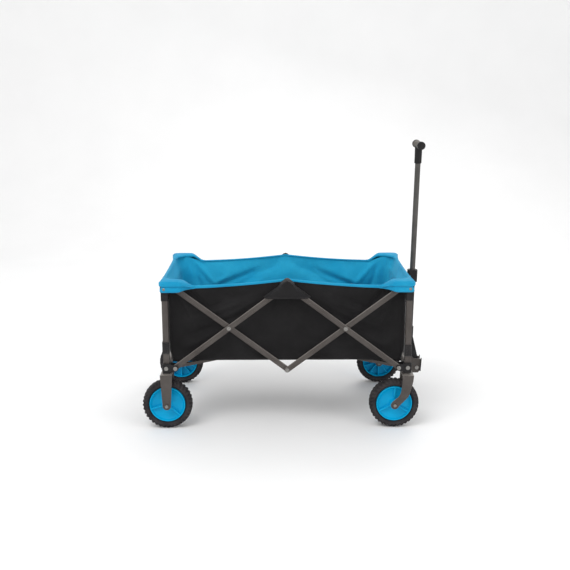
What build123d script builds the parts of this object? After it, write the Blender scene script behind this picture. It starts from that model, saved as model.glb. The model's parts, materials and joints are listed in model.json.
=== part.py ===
"""Folding beach cart: scissor side frames, telescoping corner posts, swivel front wheels, pull handle.

Millimetres. +X points to the handle end, +Y to the cart's left, +Z up. The origin is on the floor
below the middle of the cart. The cart is drawn open, as it stands in use.
"""
import os
from math import atan2, cos, degrees, hypot, radians, sin, tan

from build123d import *

os.makedirs("parts", exist_ok=True)

# ---------------------------------------------------------------- driving dimensions
# overall layout
post_reach = 400.0          # middle of the cart to a post's axis, along X
half_track = 229.0          # middle of the cart to the posts and to the wheels' mid planes, along Y
wheel_headroom = 25.0       # top of the wheels to the underside of the lower corner brackets

# wheels
wheel_radius = 83.0
tyre_width = 42.0
tyre_depth = 23.0           # rim to tread
rim_inset = 4.0             # tyre's side to the rim's edge
hub_radius = 15.0
hub_end_gap = 0.8
axle_radius = 4.0
caster_trail = 42.0         # swivel axis to axle, along X

# scissor linkage
corner_inset = 30.0         # post axis to the corner pivots
corner_pivot_rise = 17.5    # underside of the lower brackets to the lower corner pivots
pivot_rise = 267.6          # lower corner pivot to upper corner pivot
middle_rise = 144.3236      # crossing pivots to the middle pivots, up and down
bar_width = 18.0
bar_thickness = 8.0
bar_wall = 1.6
layer_gap = 0.5             # between bars that lie side by side
layer_shift = 1.5           # posts' axes to the bars' middle layer, outward
pin_radius = 4.0
rivet_head_radius = 7.0
rivet_head = 2.2

# posts
post_size = 20.0
post_wall = 1.5
post_foot = 5.0             # underside of the lower brackets to the lower end of the outer posts
guide_wall = 2.0
guide_height = 28.0
guide_lap = 9.0             # guide over the outer post
inner_post_wall = 1.4
inner_post_slack = 0.5      # each side, inside the outer post
inner_post_foot = 30.0      # lower end of the outer posts to that of the inner posts

# brackets and fittings
bracket_height = 33.0
block_margin = 0.5          # each side, corner block outside the guide's size
ear_thickness = 2.7
ear_radius = 10.0
fitting_pivot_rise = 10.1   # underside of the top fittings to the upper corner pivots
fitting_height = 34.0
fitting_roof = 4.0          # top fitting above the end of its inner post
fitting_gap = 1.0           # top fittings above the guides
cross_tube_radius = 10.0
cross_tube_rise = 13.0      # underside of the lower brackets to the cross tubes' axes

# forks
fork_side_gap = 10.0        # tyre's side to the fork's plate
fork_plate = 3.0
crown_thickness = 4.0
fork_tip_radius = 13.5
fork_top_width = 40.0
swivel_collar = 4.0         # bracket to caster crown
kingpin_radius = 5.0

# floor supports
floor_tip_reach = 52.0      # middle of the cart to the tips, along X
floor_tip_inset = 2.0       # middle plane to each arm at the tip
floor_arm_width = 14.0
floor_arm_height = 10.0
floor_eye_width = 7.5
floor_board_thickness = 3.0
floor_board_inset = 18.0    # bag's side to the boards
floor_board_gap = 4.0       # board's end to the line of the tips

# bag
bag_side_gap = 2.0          # lower brackets to the bag's side
bag_end_gap = 2.5           # corner blocks to the bag's end
bag_rise = 13.5             # lower corner pivots to the bag's underside
bag_wall = 2.2
bag_corner_radius = 12.0
rim_dip = 19.0              # below the corners
rim_dip_inset = 106.0       # bag's end to the dips
rim_quarter_drop = 9.0
rim_quarter_reach = 122.0
rim_apex_rise = 6.0
pocket_half_width = 74.0
pocket_drop = 61.0          # rim's apex to the pockets' lower edge
pocket_wall = 1.5
strap_height = 41.0
rear_strap_rise = 66.0      # underside of the lower brackets to the straps
front_strap_rise = 55.0
strap_thickness = 2.0

# pull handle
handle_reach = 67.0         # post's axis to the handle's pivot, along X
handle_drop = 69.0          # cross tube's axis to the handle's pivot
tube_foot_reach = 39.0
tube_foot_rise = 46.0       # cross tube's axis to the foot of the handle's tube
tube_lean = 1.02            # degrees, forward
lower_tube_radius = 11.0
lower_tube_length = 232.0
lower_tube_wall = 1.2
tube_slack = 0.4            # radial, upper tube in lower tube
upper_tube_wall = 1.2
upper_tube_overlap = 62.0   # upper tube inside the lower tube at rest
upper_tube_length = 465.0
collar_length = 42.0
collar_wall = 4.0           # front and back
collar_cheek = 6.0          # each side
yoke_width = 22.0
yoke_wall = 3.0             # round the tube
yoke_cheek = 1.0            # each side, beyond the tube's socket
grip_radius = 14.0
grip_half_length = 60.0
grip_cap_length = 12.0
stem_wall = 3.1
stem_length = 28.0
cradle_side_gap = 0.5
cradle_plate = 3.0
cradle_lip = 8.0            # flared front edge of each cradle plate, across the cart

# clearances
running = 0.06              # radial, pins and shafts in their holes
sliding = 0.3               # telescoping tubes, and faces that pass each other
seat = 0.3                  # soft pieces beside what carries them

# ---------------------------------------------------------------- what follows from them
bracket_bottom = 2 * wheel_radius + wheel_headroom
rim_radius = wheel_radius - tyre_depth
rim_width = tyre_width - 2 * rim_inset
fork_gap = tyre_width + 2 * fork_side_gap
hub_half_length = fork_gap / 2 - hub_end_gap

pivot_reach = post_reach - corner_inset
lower_pivot_z = bracket_bottom + corner_pivot_rise
upper_pivot_z = lower_pivot_z + pivot_rise
crossing_z = lower_pivot_z + pivot_rise / 2
crossing_reach = pivot_reach * middle_rise / (middle_rise + pivot_rise / 2)
corner_arm = hypot(pivot_reach - crossing_reach, pivot_rise / 2)
open_angle = degrees(atan2(pivot_rise / 2, pivot_reach - crossing_reach))
bar_length = corner_arm + crossing_reach / cos(radians(open_angle))
layer_middle = half_track + layer_shift
layer_pitch = bar_thickness + layer_gap
inner_layer = layer_middle - layer_pitch
outer_layer = layer_middle + layer_pitch

guide_size = post_size + 2 * guide_wall
block_size = guide_size + 2 * block_margin
bracket_depth = 2 * layer_pitch + bar_thickness + 2 * ear_thickness + 2 * sliding
bracket_inner = layer_middle - bracket_depth / 2
bracket_outer = layer_middle + bracket_depth / 2
fitting_bottom = upper_pivot_z - fitting_pivot_rise
guide_top = fitting_bottom - fitting_gap
guide_bottom = guide_top - guide_height
post_top = guide_bottom + guide_lap
inner_post_size = post_size - 2 * (post_wall + inner_post_slack)
inner_post_top = fitting_bottom + fitting_height - fitting_roof
cross_tube_z = bracket_bottom + cross_tube_rise
axle_x = {"rear": -post_reach, "front": post_reach - caster_trail}
crown_top = {"rear": bracket_bottom, "front": bracket_bottom - swivel_collar - sliding}

floor_arm_length = pivot_reach - floor_tip_reach
floor_tip_half_width = floor_tip_inset + floor_arm_width
bag_half_length = post_reach - block_size / 2 - bag_end_gap
bag_half_width = bracket_inner - bag_side_gap
bag_bottom = lower_pivot_z + bag_rise
bag_floor_top = bag_bottom + bag_wall
floor_board_half_width = bag_half_width - floor_board_inset
rim_corner_z = fitting_bottom + fitting_height
rim_dip_z = rim_corner_z - rim_dip
rim_dip_reach = bag_half_length - rim_dip_inset
rim_quarter_z = rim_corner_z - rim_quarter_drop
rim_apex_z = rim_corner_z + rim_apex_rise
bag_rim_cut_z = rim_apex_z + 20.0
pocket_bottom = rim_apex_z - pocket_drop

handle_pivot_x = post_reach + handle_reach
handle_pivot_z = cross_tube_z - handle_drop
upper_tube_radius = lower_tube_radius - lower_tube_wall - tube_slack
stem_radius = upper_tube_radius + stem_wall
collar_depth = 2 * (lower_tube_radius + collar_wall)
collar_width = 2 * (lower_tube_radius + collar_cheek)
yoke_depth = 2 * (lower_tube_radius + yoke_wall + yoke_cheek)
cradle_gap = yoke_depth + 2 * cradle_side_gap
sides = {"right": -1, "left": 1}
ends = {"rear": -1, "front": 1}


def finish(piece, name, color):
    """Label a finished piece, colour it and write its STEP file."""
    piece.part.label = name
    piece.part.color = Color(*color)
    export_step(piece.part, f"parts/{name}.step")


dark_metal = (0.30, 0.28, 0.27)
black_plastic = (0.06, 0.06, 0.06)
black_fabric = (0.10, 0.10, 0.10)
blue_plastic = (0.02, 0.55, 0.80)
bright_metal = (0.75, 0.75, 0.75)
board_grey = (0.20, 0.20, 0.22)


# ---------------------------------------------------------------- wheels
def wheel_plane(end, outward):
    """The wheel's mid plane, its normal outward from the cart and its X along the cart."""
    return Plane(
        origin=(axle_x[end], outward * half_track, wheel_radius),
        x_dir=(1, 0, 0),
        z_dir=(0, outward, 0),
    )


def make_tyre(end, side):
    """A solid tyre with a rounded tread and shoulders."""
    name = f"{end}_tyre_{side}"
    half = tyre_width / 2
    axle = Axis(wheel_plane(end, sides[side]).origin, (0, 1, 0))
    with BuildPart() as tyre:
        with BuildSketch(Plane(axle.position, x_dir=(0, 0, 1), z_dir=(1, 0, 0))):
            with BuildLine():
                Polyline(
                    (rim_radius, -rim_width / 2 + 2),
                    (rim_radius + 1, -half + 3),
                    (rim_radius + 9, -half),
                    (wheel_radius - 9, -half),
                )
                ThreePointArc(
                    (wheel_radius - 9, -half),
                    (wheel_radius - 2.2, -half + 4.5),
                    (wheel_radius, -half + 11),
                )
                Line((wheel_radius, -half + 11), (wheel_radius, half - 11))
                ThreePointArc(
                    (wheel_radius, half - 11),
                    (wheel_radius - 2.2, half - 4.5),
                    (wheel_radius - 9, half),
                )
                Polyline(
                    (wheel_radius - 9, half),
                    (rim_radius + 9, half),
                    (rim_radius + 1, half - 3),
                    (rim_radius, rim_width / 2 - 2),
                    (rim_radius, -rim_width / 2 + 2),
                )
            make_face()
        revolve(axis=axle)
    finish(tyre, name, black_plastic)


def make_rim(end, side):
    """A moulded rim: barrel, web, hub, three ribs on the outer face and ten on the inner face."""
    name = f"{end}_rim_{side}"
    barrel_wall = 3.0
    web_thickness = 4.0
    web_inset = 8.0
    rib_thickness = 3.5
    half = rim_width / 2
    plane = wheel_plane(end, sides[side])
    with BuildPart() as rim:
        with BuildSketch(plane.offset(-half)):
            Circle(rim_radius)
            Circle(rim_radius - barrel_wall, mode=Mode.SUBTRACT)
        extrude(amount=rim_width)
        with BuildSketch(plane.offset(half - web_inset - web_thickness)):
            Circle(rim_radius - barrel_wall / 2)
        extrude(amount=web_thickness)
        with BuildSketch(plane.offset(-hub_half_length)):
            Circle(hub_radius)
        extrude(amount=2 * hub_half_length)
        with BuildSketch(plane.offset(half - web_inset - 0.5)):
            with PolarLocations(rim_radius / 2, 3, start_angle=90):
                Rectangle(rim_radius - barrel_wall, rib_thickness)
        extrude(amount=web_inset - 2.0)
        with BuildSketch(plane.offset(-half + 3.0)):
            with PolarLocations(rim_radius / 2, 10, start_angle=18):
                Rectangle(rim_radius - barrel_wall, rib_thickness)
        extrude(amount=rim_width - web_inset - web_thickness - 2.5)
        with BuildSketch(plane.offset(-hub_half_length - 1)):
            Circle(axle_radius + running)
        extrude(amount=2 * hub_half_length + 2, mode=Mode.SUBTRACT)
    finish(rim, name, blue_plastic)


# ---------------------------------------------------------------- forks and axles
def straight_fork_outline(end):
    """The rear fork plate: a taper from the crown to a round tip at the axle."""
    with BuildSketch(Plane.XZ) as outline:
        with BuildSketch(Plane.XZ, mode=Mode.ADD):
            with Locations((axle_x[end], crown_top[end] - 1)):
                Rectangle(fork_top_width, 2)
            with Locations((axle_x[end], wheel_radius)):
                Circle(fork_tip_radius)
            make_hull()
        with Locations((axle_x[end], wheel_radius)):
            Circle(axle_radius + running, mode=Mode.SUBTRACT)
    return outline.sketch


def curved_fork_outline(end):
    """The caster's fork plate: it bows back from the crown to the axle."""
    top = crown_top[end]
    half = fork_top_width / 2 - 1.5
    with BuildSketch(Plane.XZ) as outline:
        with BuildLine():
            Line((post_reach - half, top), (post_reach + half, top))
            Spline(
                (post_reach + half, top),
                (post_reach + 10.5, wheel_radius + 55),
                (post_reach + 5.0, wheel_radius + 37),
                (axle_x[end] + fork_tip_radius * cos(radians(-32)),
                 wheel_radius + fork_tip_radius * sin(radians(-32))),
                tangents=[(0, -1), (-0.55, -0.84)],
            )
            ThreePointArc(
                (axle_x[end] + fork_tip_radius * cos(radians(-32)),
                 wheel_radius + fork_tip_radius * sin(radians(-32))),
                (axle_x[end] + fork_tip_radius * cos(radians(238)),
                 wheel_radius + fork_tip_radius * sin(radians(238))),
                (axle_x[end] + fork_tip_radius * cos(radians(148)),
                 wheel_radius + fork_tip_radius * sin(radians(148))),
            )
            Spline(
                (axle_x[end] + fork_tip_radius * cos(radians(148)),
                 wheel_radius + fork_tip_radius * sin(radians(148))),
                (post_reach - 27.0, wheel_radius + 34),
                (post_reach - 21.0, wheel_radius + 56),
                (post_reach - half, top),
                tangents=[(0.55, 0.84), (0, 1)],
            )
        make_face()
        with Locations((axle_x[end], wheel_radius)):
            Circle(axle_radius + running, mode=Mode.SUBTRACT)
    return outline.sketch


def add_fork(end, outward, outline):
    """Add one fork to the part that is being built: two plates under a crown."""
    middle = outward * half_track
    for plate_side in (-1, 1):
        plate_y = middle + plate_side * (fork_gap + fork_plate) / 2
        extrude(outline.moved(Location((0, plate_y, 0))), amount=fork_plate / 2, both=True)
    with BuildSketch(Plane.XY.offset(crown_top[end] - crown_thickness)) as crown:
        with Locations((ends[end] * post_reach, middle)):
            RectangleRounded(fork_top_width - 3, fork_gap + 2 * fork_plate, 4)
            if end == "front":
                Circle(kingpin_radius + running, mode=Mode.SUBTRACT)
    extrude(crown.sketch, amount=crown_thickness)


def axle_bolt(end, outward):
    """Add an axle bolt: inner nut, shank and tapered outer head."""
    reach = fork_gap / 2 + fork_plate
    head = 4.0
    with BuildSketch(wheel_plane(end, outward).offset(-reach - head)) as nut:
        RegularPolygon(6.5, 6)
    extrude(nut.sketch, amount=head)
    with BuildSketch(wheel_plane(end, outward).offset(-reach)) as shank:
        Circle(axle_radius)
    extrude(shank.sketch, amount=2 * reach)
    with BuildSketch(wheel_plane(end, outward).offset(reach)) as bolt_head:
        Circle(6.8)
    extrude(bolt_head.sketch, amount=head, taper=18)


with BuildPart() as rear_forks:
    for side in sides:
        add_fork("rear", sides[side], straight_fork_outline("rear"))
finish(rear_forks, "rear_forks", dark_metal)

with BuildPart() as rear_axle_bolts:
    for side in sides:
        axle_bolt("rear", sides[side])
finish(rear_axle_bolts, "rear_axle_bolts", bright_metal)

for side in sides:
    with BuildPart() as caster_fork:
        add_fork("front", sides[side], curved_fork_outline("front"))
    finish(caster_fork, f"caster_fork_{side}", dark_metal)
    with BuildPart() as caster_axle_bolt:
        axle_bolt("front", sides[side])
    finish(caster_axle_bolt, f"caster_axle_bolt_{side}", bright_metal)

for end in ends:
    for side in sides:
        make_tyre(end, side)
        make_rim(end, side)

with BuildPart() as kingpins:
    for side in sides:
        centre = (post_reach, sides[side] * half_track)
        head_top = crown_top["front"] - crown_thickness - sliding
        with BuildSketch(Plane.XY.offset(head_top)):
            with Locations(centre):
                Circle(kingpin_radius + 5)
        extrude(amount=-5)
        with BuildSketch(Plane.XY.offset(head_top)):
            with Locations(centre):
                Circle(kingpin_radius)
        extrude(amount=crown_thickness + 2 * sliding)
        with BuildSketch(Plane.XY.offset(crown_top["front"] + sliding)):
            with Locations(centre):
                Circle(kingpin_radius + 8)
        extrude(amount=swivel_collar)
finish(kingpins, "kingpins", bright_metal)


# ---------------------------------------------------------------- end frames
def square_tube(centre, outer, wall, bottom, top):
    """Add a square tube that stands upright."""
    with BuildSketch(Plane.XY.offset(bottom)) as section:
        with Locations(centre):
            RectangleRounded(outer, outer, 2.0)
            RectangleRounded(outer - 2 * wall, outer - 2 * wall, 0.8, mode=Mode.SUBTRACT)
    extrude(section.sketch, amount=top - bottom)


def add_ears(end, outward, pivot_z, low, high):
    """Add the two ears that hold a scissor bar's end, with a hole for the pivot pin."""
    inboard = -ends[end]
    root = ends[end] * (post_reach - guide_size / 2)
    pivot_x = ends[end] * pivot_reach
    for y_low in (bracket_inner, bracket_outer - ear_thickness):
        y_face = y_low if outward > 0 else -y_low - ear_thickness
        with BuildSketch(Plane.XZ.offset(-(y_face + ear_thickness))) as ear:
            with BuildLine():
                Polyline(
                    (root - inboard, low),
                    (pivot_x, max(low, pivot_z - ear_radius)),
                )
                ThreePointArc(
                    (pivot_x, max(low, pivot_z - ear_radius)),
                    (pivot_x + inboard * ear_radius, pivot_z),
                    (pivot_x, min(high, pivot_z + ear_radius)),
                )
                Polyline(
                    (pivot_x, min(high, pivot_z + ear_radius)),
                    (root - inboard, high),
                    (root - inboard, low),
                )
            make_face()
            with Locations((pivot_x, pivot_z)):
                Circle(pin_radius + running, mode=Mode.SUBTRACT)
        extrude(ear.sketch, amount=ear_thickness)


def corner_block(end, outward, bottom, height):
    """Add the block that wraps a post at a corner."""
    with BuildSketch(Plane.XY.offset(bottom)) as block:
        with Locations((ends[end] * post_reach, outward * layer_middle)):
            RectangleRounded(block_size, bracket_depth, 3)
    extrude(block.sketch, amount=height)


def post_socket(end, outward, size, bottom, top):
    """Cut the square socket that a post stands in."""
    with BuildSketch(Plane.XY.offset(bottom)) as socket:
        with Locations((ends[end] * post_reach, outward * half_track)):
            RectangleRounded(size, size, 2.0)
    extrude(socket.sketch, amount=top - bottom, mode=Mode.SUBTRACT)


def make_posts(end):
    """The two outer posts of one end frame."""
    with BuildPart() as posts:
        for outward in sides.values():
            square_tube((ends[end] * post_reach, outward * half_track),
                        post_size, post_wall, bracket_bottom + post_foot, post_top)
    finish(posts, f"{end}_posts", dark_metal)


def make_guides(end):
    """Sleeves on the outer posts, which guide the inner posts."""
    with BuildPart() as guides:
        for outward in sides.values():
            centre = (ends[end] * post_reach, outward * half_track)
            with BuildSketch(Plane.XY.offset(guide_bottom)):
                with Locations(centre):
                    RectangleRounded(guide_size, guide_size, 3)
            extrude(amount=guide_top - guide_bottom)
            with BuildSketch(Plane.XY.offset(guide_bottom)):
                with Locations(centre):
                    RectangleRounded(post_size, post_size, 2)
            extrude(amount=post_top - guide_bottom, mode=Mode.SUBTRACT)
            with BuildSketch(Plane.XY.offset(post_top)):
                with Locations(centre):
                    RectangleRounded(inner_post_size + 2 * sliding, inner_post_size + 2 * sliding, 2)
            extrude(amount=guide_top - post_top, mode=Mode.SUBTRACT)
    finish(guides, f"{end}_post_guides", black_plastic)


def make_brackets(end):
    """Lower corner brackets: a block on each post, with ears for the scissor pivot."""
    with BuildPart() as brackets:
        for outward in sides.values():
            corner_block(end, outward, bracket_bottom, bracket_height)
            add_ears(end, outward, lower_pivot_z, bracket_bottom + 2,
                     bracket_bottom + bracket_height - 1)
            post_socket(end, outward, post_size, bracket_bottom + post_foot,
                        bracket_bottom + bracket_height + 1)
    finish(brackets, f"{end}_brackets", black_plastic)


def make_cross_tube(end):
    """The tube that joins the two lower corner brackets of one end."""
    with BuildPart() as cross_tube:
        with BuildSketch(Plane.XZ):
            with Locations((ends[end] * post_reach, cross_tube_z)):
                Circle(cross_tube_radius)
                Circle(cross_tube_radius - 1.5, mode=Mode.SUBTRACT)
        extrude(amount=bracket_inner, both=True)
    finish(cross_tube, f"{end}_cross_tube", dark_metal)


def stepped_pin(x, z, outward, steps):
    """Add a round pin along Y from steps of (inner distance, outer distance, radius)."""
    for near, far, radius in steps:
        plane = Plane((x, outward * near, z), x_dir=(1, 0, 0), z_dir=(0, outward, 0))
        with BuildSketch(plane) as disc:
            Circle(radius)
        extrude(disc.sketch, amount=far - near)


def make_lower_pins(end, bar_layer):
    """Lower corner pins, with bushes that fill the layers beside the bar, and the post rivets."""
    bush_radius = 6.5
    inner_face = bracket_inner + ear_thickness
    outer_face = bracket_outer - ear_thickness
    bar_inner = bar_layer - bar_thickness / 2
    bar_outer = bar_layer + bar_thickness / 2
    arm_outer = bracket_inner - sliding
    arm_inner = arm_outer - floor_eye_width
    with BuildPart() as pins:
        for outward in sides.values():
            steps = [
                (arm_inner - sliding - rivet_head, arm_inner - sliding, rivet_head_radius),
                (arm_inner - sliding, bracket_outer, pin_radius),
                (bracket_outer, bracket_outer + rivet_head, rivet_head_radius),
            ]
            if bar_inner - inner_face > 2:
                steps.append((inner_face + sliding, bar_inner - sliding, bush_radius))
            if outer_face - bar_outer > 2:
                steps.append((bar_outer + sliding, outer_face - sliding, bush_radius))
            stepped_pin(ends[end] * pivot_reach, lower_pivot_z, outward, steps)
            stepped_pin(ends[end] * post_reach, lower_pivot_z, outward,
                        [(bracket_outer, bracket_outer + rivet_head, rivet_head_radius)])
    finish(pins, f"{end}_lower_pins", bright_metal)


def make_straps(end, bottom):
    """Webbing bands round the posts, each with a tab behind the bag's end wall."""
    tab_inner = floor_board_half_width + 3.0
    tab_x = (post_reach - post_size / 2 + bag_half_length + seat) / 2
    tab_thickness = post_reach - post_size / 2 - bag_half_length - seat
    with BuildPart() as straps:
        for outward in sides.values():
            with BuildSketch(Plane.XY.offset(bottom)):
                with Locations((ends[end] * post_reach, outward * half_track)):
                    RectangleRounded(post_size + 2 * strap_thickness,
                                     post_size + 2 * strap_thickness, 3)
                with Locations((ends[end] * tab_x,
                                outward * (tab_inner + half_track) / 2)):
                    Rectangle(tab_thickness, half_track - tab_inner)
                with Locations((ends[end] * post_reach, outward * half_track)):
                    RectangleRounded(post_size, post_size, 2, mode=Mode.SUBTRACT)
            extrude(amount=strap_height)
    finish(straps, f"{end}_straps", black_fabric)


for end in ends:
    make_posts(end)
    make_guides(end)
    make_brackets(end)
    make_cross_tube(end)
make_lower_pins("rear", layer_middle)
make_lower_pins("front", outer_layer)
make_straps("rear", bracket_bottom + rear_strap_rise)
make_straps("front", bracket_bottom + front_strap_rise)


# ---------------------------------------------------------------- telescoping tops
def make_inner_posts(end):
    """The posts that slide inside the outer posts as the cart folds."""
    with BuildPart() as inner_posts:
        for outward in sides.values():
            square_tube((ends[end] * post_reach, outward * half_track),
                        inner_post_size, inner_post_wall,
                        bracket_bottom + post_foot + inner_post_foot, inner_post_top)
    finish(inner_posts, f"{end}_inner_posts", dark_metal)


def make_fittings(end):
    """Upper corner fittings: caps on the inner posts, with ears for the scissor pivot."""
    with BuildPart() as fittings:
        for outward in sides.values():
            corner_block(end, outward, fitting_bottom, fitting_height)
            add_ears(end, outward, upper_pivot_z, fitting_bottom, fitting_bottom + fitting_height - 8)
            post_socket(end, outward, inner_post_size, fitting_bottom - 1, inner_post_top)
    finish(fittings, f"{end}_top_fittings", black_plastic)


def make_upper_pins(end, bar_layer):
    """Upper corner pins, with bushes beside the bar."""
    bush_radius = 6.5
    inner_face = bracket_inner + ear_thickness
    outer_face = bracket_outer - ear_thickness
    bar_inner = bar_layer - bar_thickness / 2
    bar_outer = bar_layer + bar_thickness / 2
    with BuildPart() as pins:
        for outward in sides.values():
            steps = [
                (bag_half_width + seat, bracket_inner, rivet_head_radius),
                (bracket_inner, bracket_outer, pin_radius),
                (bracket_outer, bracket_outer + rivet_head, rivet_head_radius),
            ]
            if bar_inner - inner_face > 2:
                steps.append((inner_face + sliding, bar_inner - sliding, bush_radius))
            if outer_face - bar_outer > 2:
                steps.append((bar_outer + sliding, outer_face - sliding, bush_radius))
            stepped_pin(ends[end] * pivot_reach, upper_pivot_z, outward, steps)
    finish(pins, f"{end}_upper_pins", bright_metal)


for end in ends:
    make_inner_posts(end)
    make_fittings(end)
make_upper_pins("rear", inner_layer)
make_upper_pins("front", layer_middle)

# ---------------------------------------------------------------- scissor bars
# each bar: corner end it starts from, whether that corner is the lower one, layer
bars = {
    "bar1": ("rear", True, layer_middle),
    "bar2": ("rear", False, inner_layer),
    "bar3": ("front", False, layer_middle),
    "bar4": ("front", True, outer_layer),
}


def make_bar(number, side):
    """A flat oval tube with three pivot holes."""
    end, from_low, layer = bars[number]
    outward = sides[side]
    inboard = -ends[end]
    corner_z = lower_pivot_z if from_low else upper_pivot_z
    slope = open_angle if from_low else -open_angle
    along = (inboard * cos(radians(slope)), 0, sin(radians(slope)))
    start = outward * layer - bar_thickness / 2
    plane = Plane((ends[end] * pivot_reach, start, corner_z), x_dir=along, z_dir=(0, 1, 0))
    with BuildPart() as bar:
        with BuildSketch(plane):
            with Locations((bar_length / 2, 0)):
                SlotCenterToCenter(bar_length, bar_width)
        extrude(amount=bar_thickness)
        fillet(bar.edges().group_by(SortBy.LENGTH)[-1], bar_thickness * 0.36)
        with BuildSketch(plane.offset(bar_wall)):
            with Locations((bar_length / 2, 0)):
                SlotCenterToCenter(bar_length, bar_width - 2 * bar_wall - 1)
        extrude(amount=bar_thickness - 2 * bar_wall, mode=Mode.SUBTRACT)
        with BuildSketch(plane):
            with Locations((0, 0), (corner_arm, 0), (bar_length, 0)):
                Circle(pin_radius + running)
        extrude(amount=bar_thickness, mode=Mode.SUBTRACT)
    finish(bar, f"{number}_{side}", dark_metal)


def make_bar_rivets(number, side, joints):
    """The rivets that ride one bar: steps for each (x, z, inner layer, outer layer)."""
    outward = sides[side]
    with BuildPart() as rivets:
        for x, z, near_layer, far_layer in joints:
            near = near_layer - bar_thickness / 2
            far = far_layer + bar_thickness / 2
            stepped_pin(x, z, outward, [
                (near - seat - rivet_head, near - seat, rivet_head_radius - 1),
                (near - seat, far + seat, pin_radius),
                (far + seat, far + seat + rivet_head, rivet_head_radius),
            ])
    finish(rivets, f"{number}_rivets_{side}", bright_metal)


for side in sides:
    for number in bars:
        make_bar(number, side)
    make_bar_rivets("bar1", side, [
        (-crossing_reach, crossing_z, inner_layer, layer_middle),
        (0, crossing_z + middle_rise, layer_middle, outer_layer),
    ])
    make_bar_rivets("bar3", side, [
        (0, crossing_z - middle_rise, inner_layer, layer_middle),
        (crossing_reach, crossing_z, layer_middle, outer_layer),
    ])


# ---------------------------------------------------------------- floor supports and boards
def make_floor_frame(end):
    """A V of two arms, hinged on the lower corner pins, with a tie at its tip."""
    inboard = -ends[end]
    arm_outer = bracket_inner - sliding
    arm_inner = arm_outer - floor_eye_width
    tip_inner = floor_tip_half_width - floor_arm_width
    hinge_x = ends[end] * pivot_reach
    tip_x = hinge_x + inboard * floor_arm_length
    low = lower_pivot_z - floor_arm_height / 2
    with BuildPart() as floor_frame:
        for outward in sides.values():
            with BuildSketch(Plane.XY.offset(low)):
                with BuildLine():
                    Polyline(
                        (hinge_x, outward * arm_inner),
                        (hinge_x, outward * arm_outer),
                        (hinge_x + inboard * 16, outward * arm_outer),
                        (tip_x, outward * floor_tip_half_width),
                        (tip_x, outward * tip_inner),
                        (tip_x - inboard * 14, outward * tip_inner),
                        (hinge_x + inboard * 24, outward * (arm_outer - 1.25 * floor_arm_width)),
                        (hinge_x + inboard * (rivet_head_radius + 1.5), outward * arm_inner),
                        (hinge_x, outward * arm_inner),
                    )
                make_face()
            extrude(amount=floor_arm_height)
            eye_start = outward * arm_outer
            eye_plane = Plane((hinge_x, eye_start, lower_pivot_z),
                              x_dir=(1, 0, 0), z_dir=(0, -outward, 0))
            with BuildSketch(eye_plane):
                Circle(pin_radius + 4.5)
            extrude(amount=floor_eye_width)
        with BuildSketch(Plane.XY.offset(low)):
            with Locations((tip_x - inboard * 6, 0)):
                Rectangle(12, 2 * floor_tip_half_width)
        extrude(amount=floor_arm_height)
        with BuildSketch(Plane.XZ):
            with Locations((hinge_x, lower_pivot_z)):
                Circle(pin_radius + running)
        extrude(amount=arm_outer + 1, both=True, mode=Mode.SUBTRACT)
    finish(floor_frame, f"{end}_floor_frame", dark_metal)


def make_floor_board(end):
    """A stiff board in the bag, over one floor support."""
    start = pivot_reach
    stop = pivot_reach - floor_arm_length + floor_board_gap
    with BuildPart() as board:
        with BuildSketch(Plane.XY.offset(bag_floor_top + seat)):
            with Locations((ends[end] * (start + stop) / 2, 0)):
                RectangleRounded(start - stop, 2 * floor_board_half_width, 8)
        extrude(amount=floor_board_thickness)
    finish(board, f"{end}_floor_board", board_grey)


for end in ends:
    make_floor_frame(end)
    make_floor_board(end)

# ---------------------------------------------------------------- bag
with BuildPart() as bag:
    with BuildSketch(Plane.XY.offset(bag_bottom)):
        RectangleRounded(2 * bag_half_length, 2 * bag_half_width, bag_corner_radius)
    extrude(amount=bag_rim_cut_z - bag_bottom)
    with BuildSketch(Plane.XY.offset(bag_floor_top)):
        RectangleRounded(2 * (bag_half_length - bag_wall), 2 * (bag_half_width - bag_wall),
                         bag_corner_radius - bag_wall)
    extrude(amount=bag_rim_cut_z - bag_bottom, mode=Mode.SUBTRACT)
    with BuildSketch(Plane.XZ):
        with BuildLine():
            Spline(
                (-bag_half_length - 1, rim_corner_z),
                (-rim_dip_reach, rim_dip_z),
                (-rim_quarter_reach, rim_quarter_z),
                (0, rim_apex_z),
                (rim_quarter_reach, rim_quarter_z),
                (rim_dip_reach, rim_dip_z),
                (bag_half_length + 1, rim_corner_z),
            )
            Polyline(
                (bag_half_length + 1, rim_corner_z),
                (bag_half_length + 1, bag_rim_cut_z + 1),
                (-bag_half_length - 1, bag_rim_cut_z + 1),
                (-bag_half_length - 1, rim_corner_z),
            )
        make_face()
    extrude(amount=bag_half_width + 1, both=True, mode=Mode.SUBTRACT)
finish(bag, "bag", black_fabric)

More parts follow.
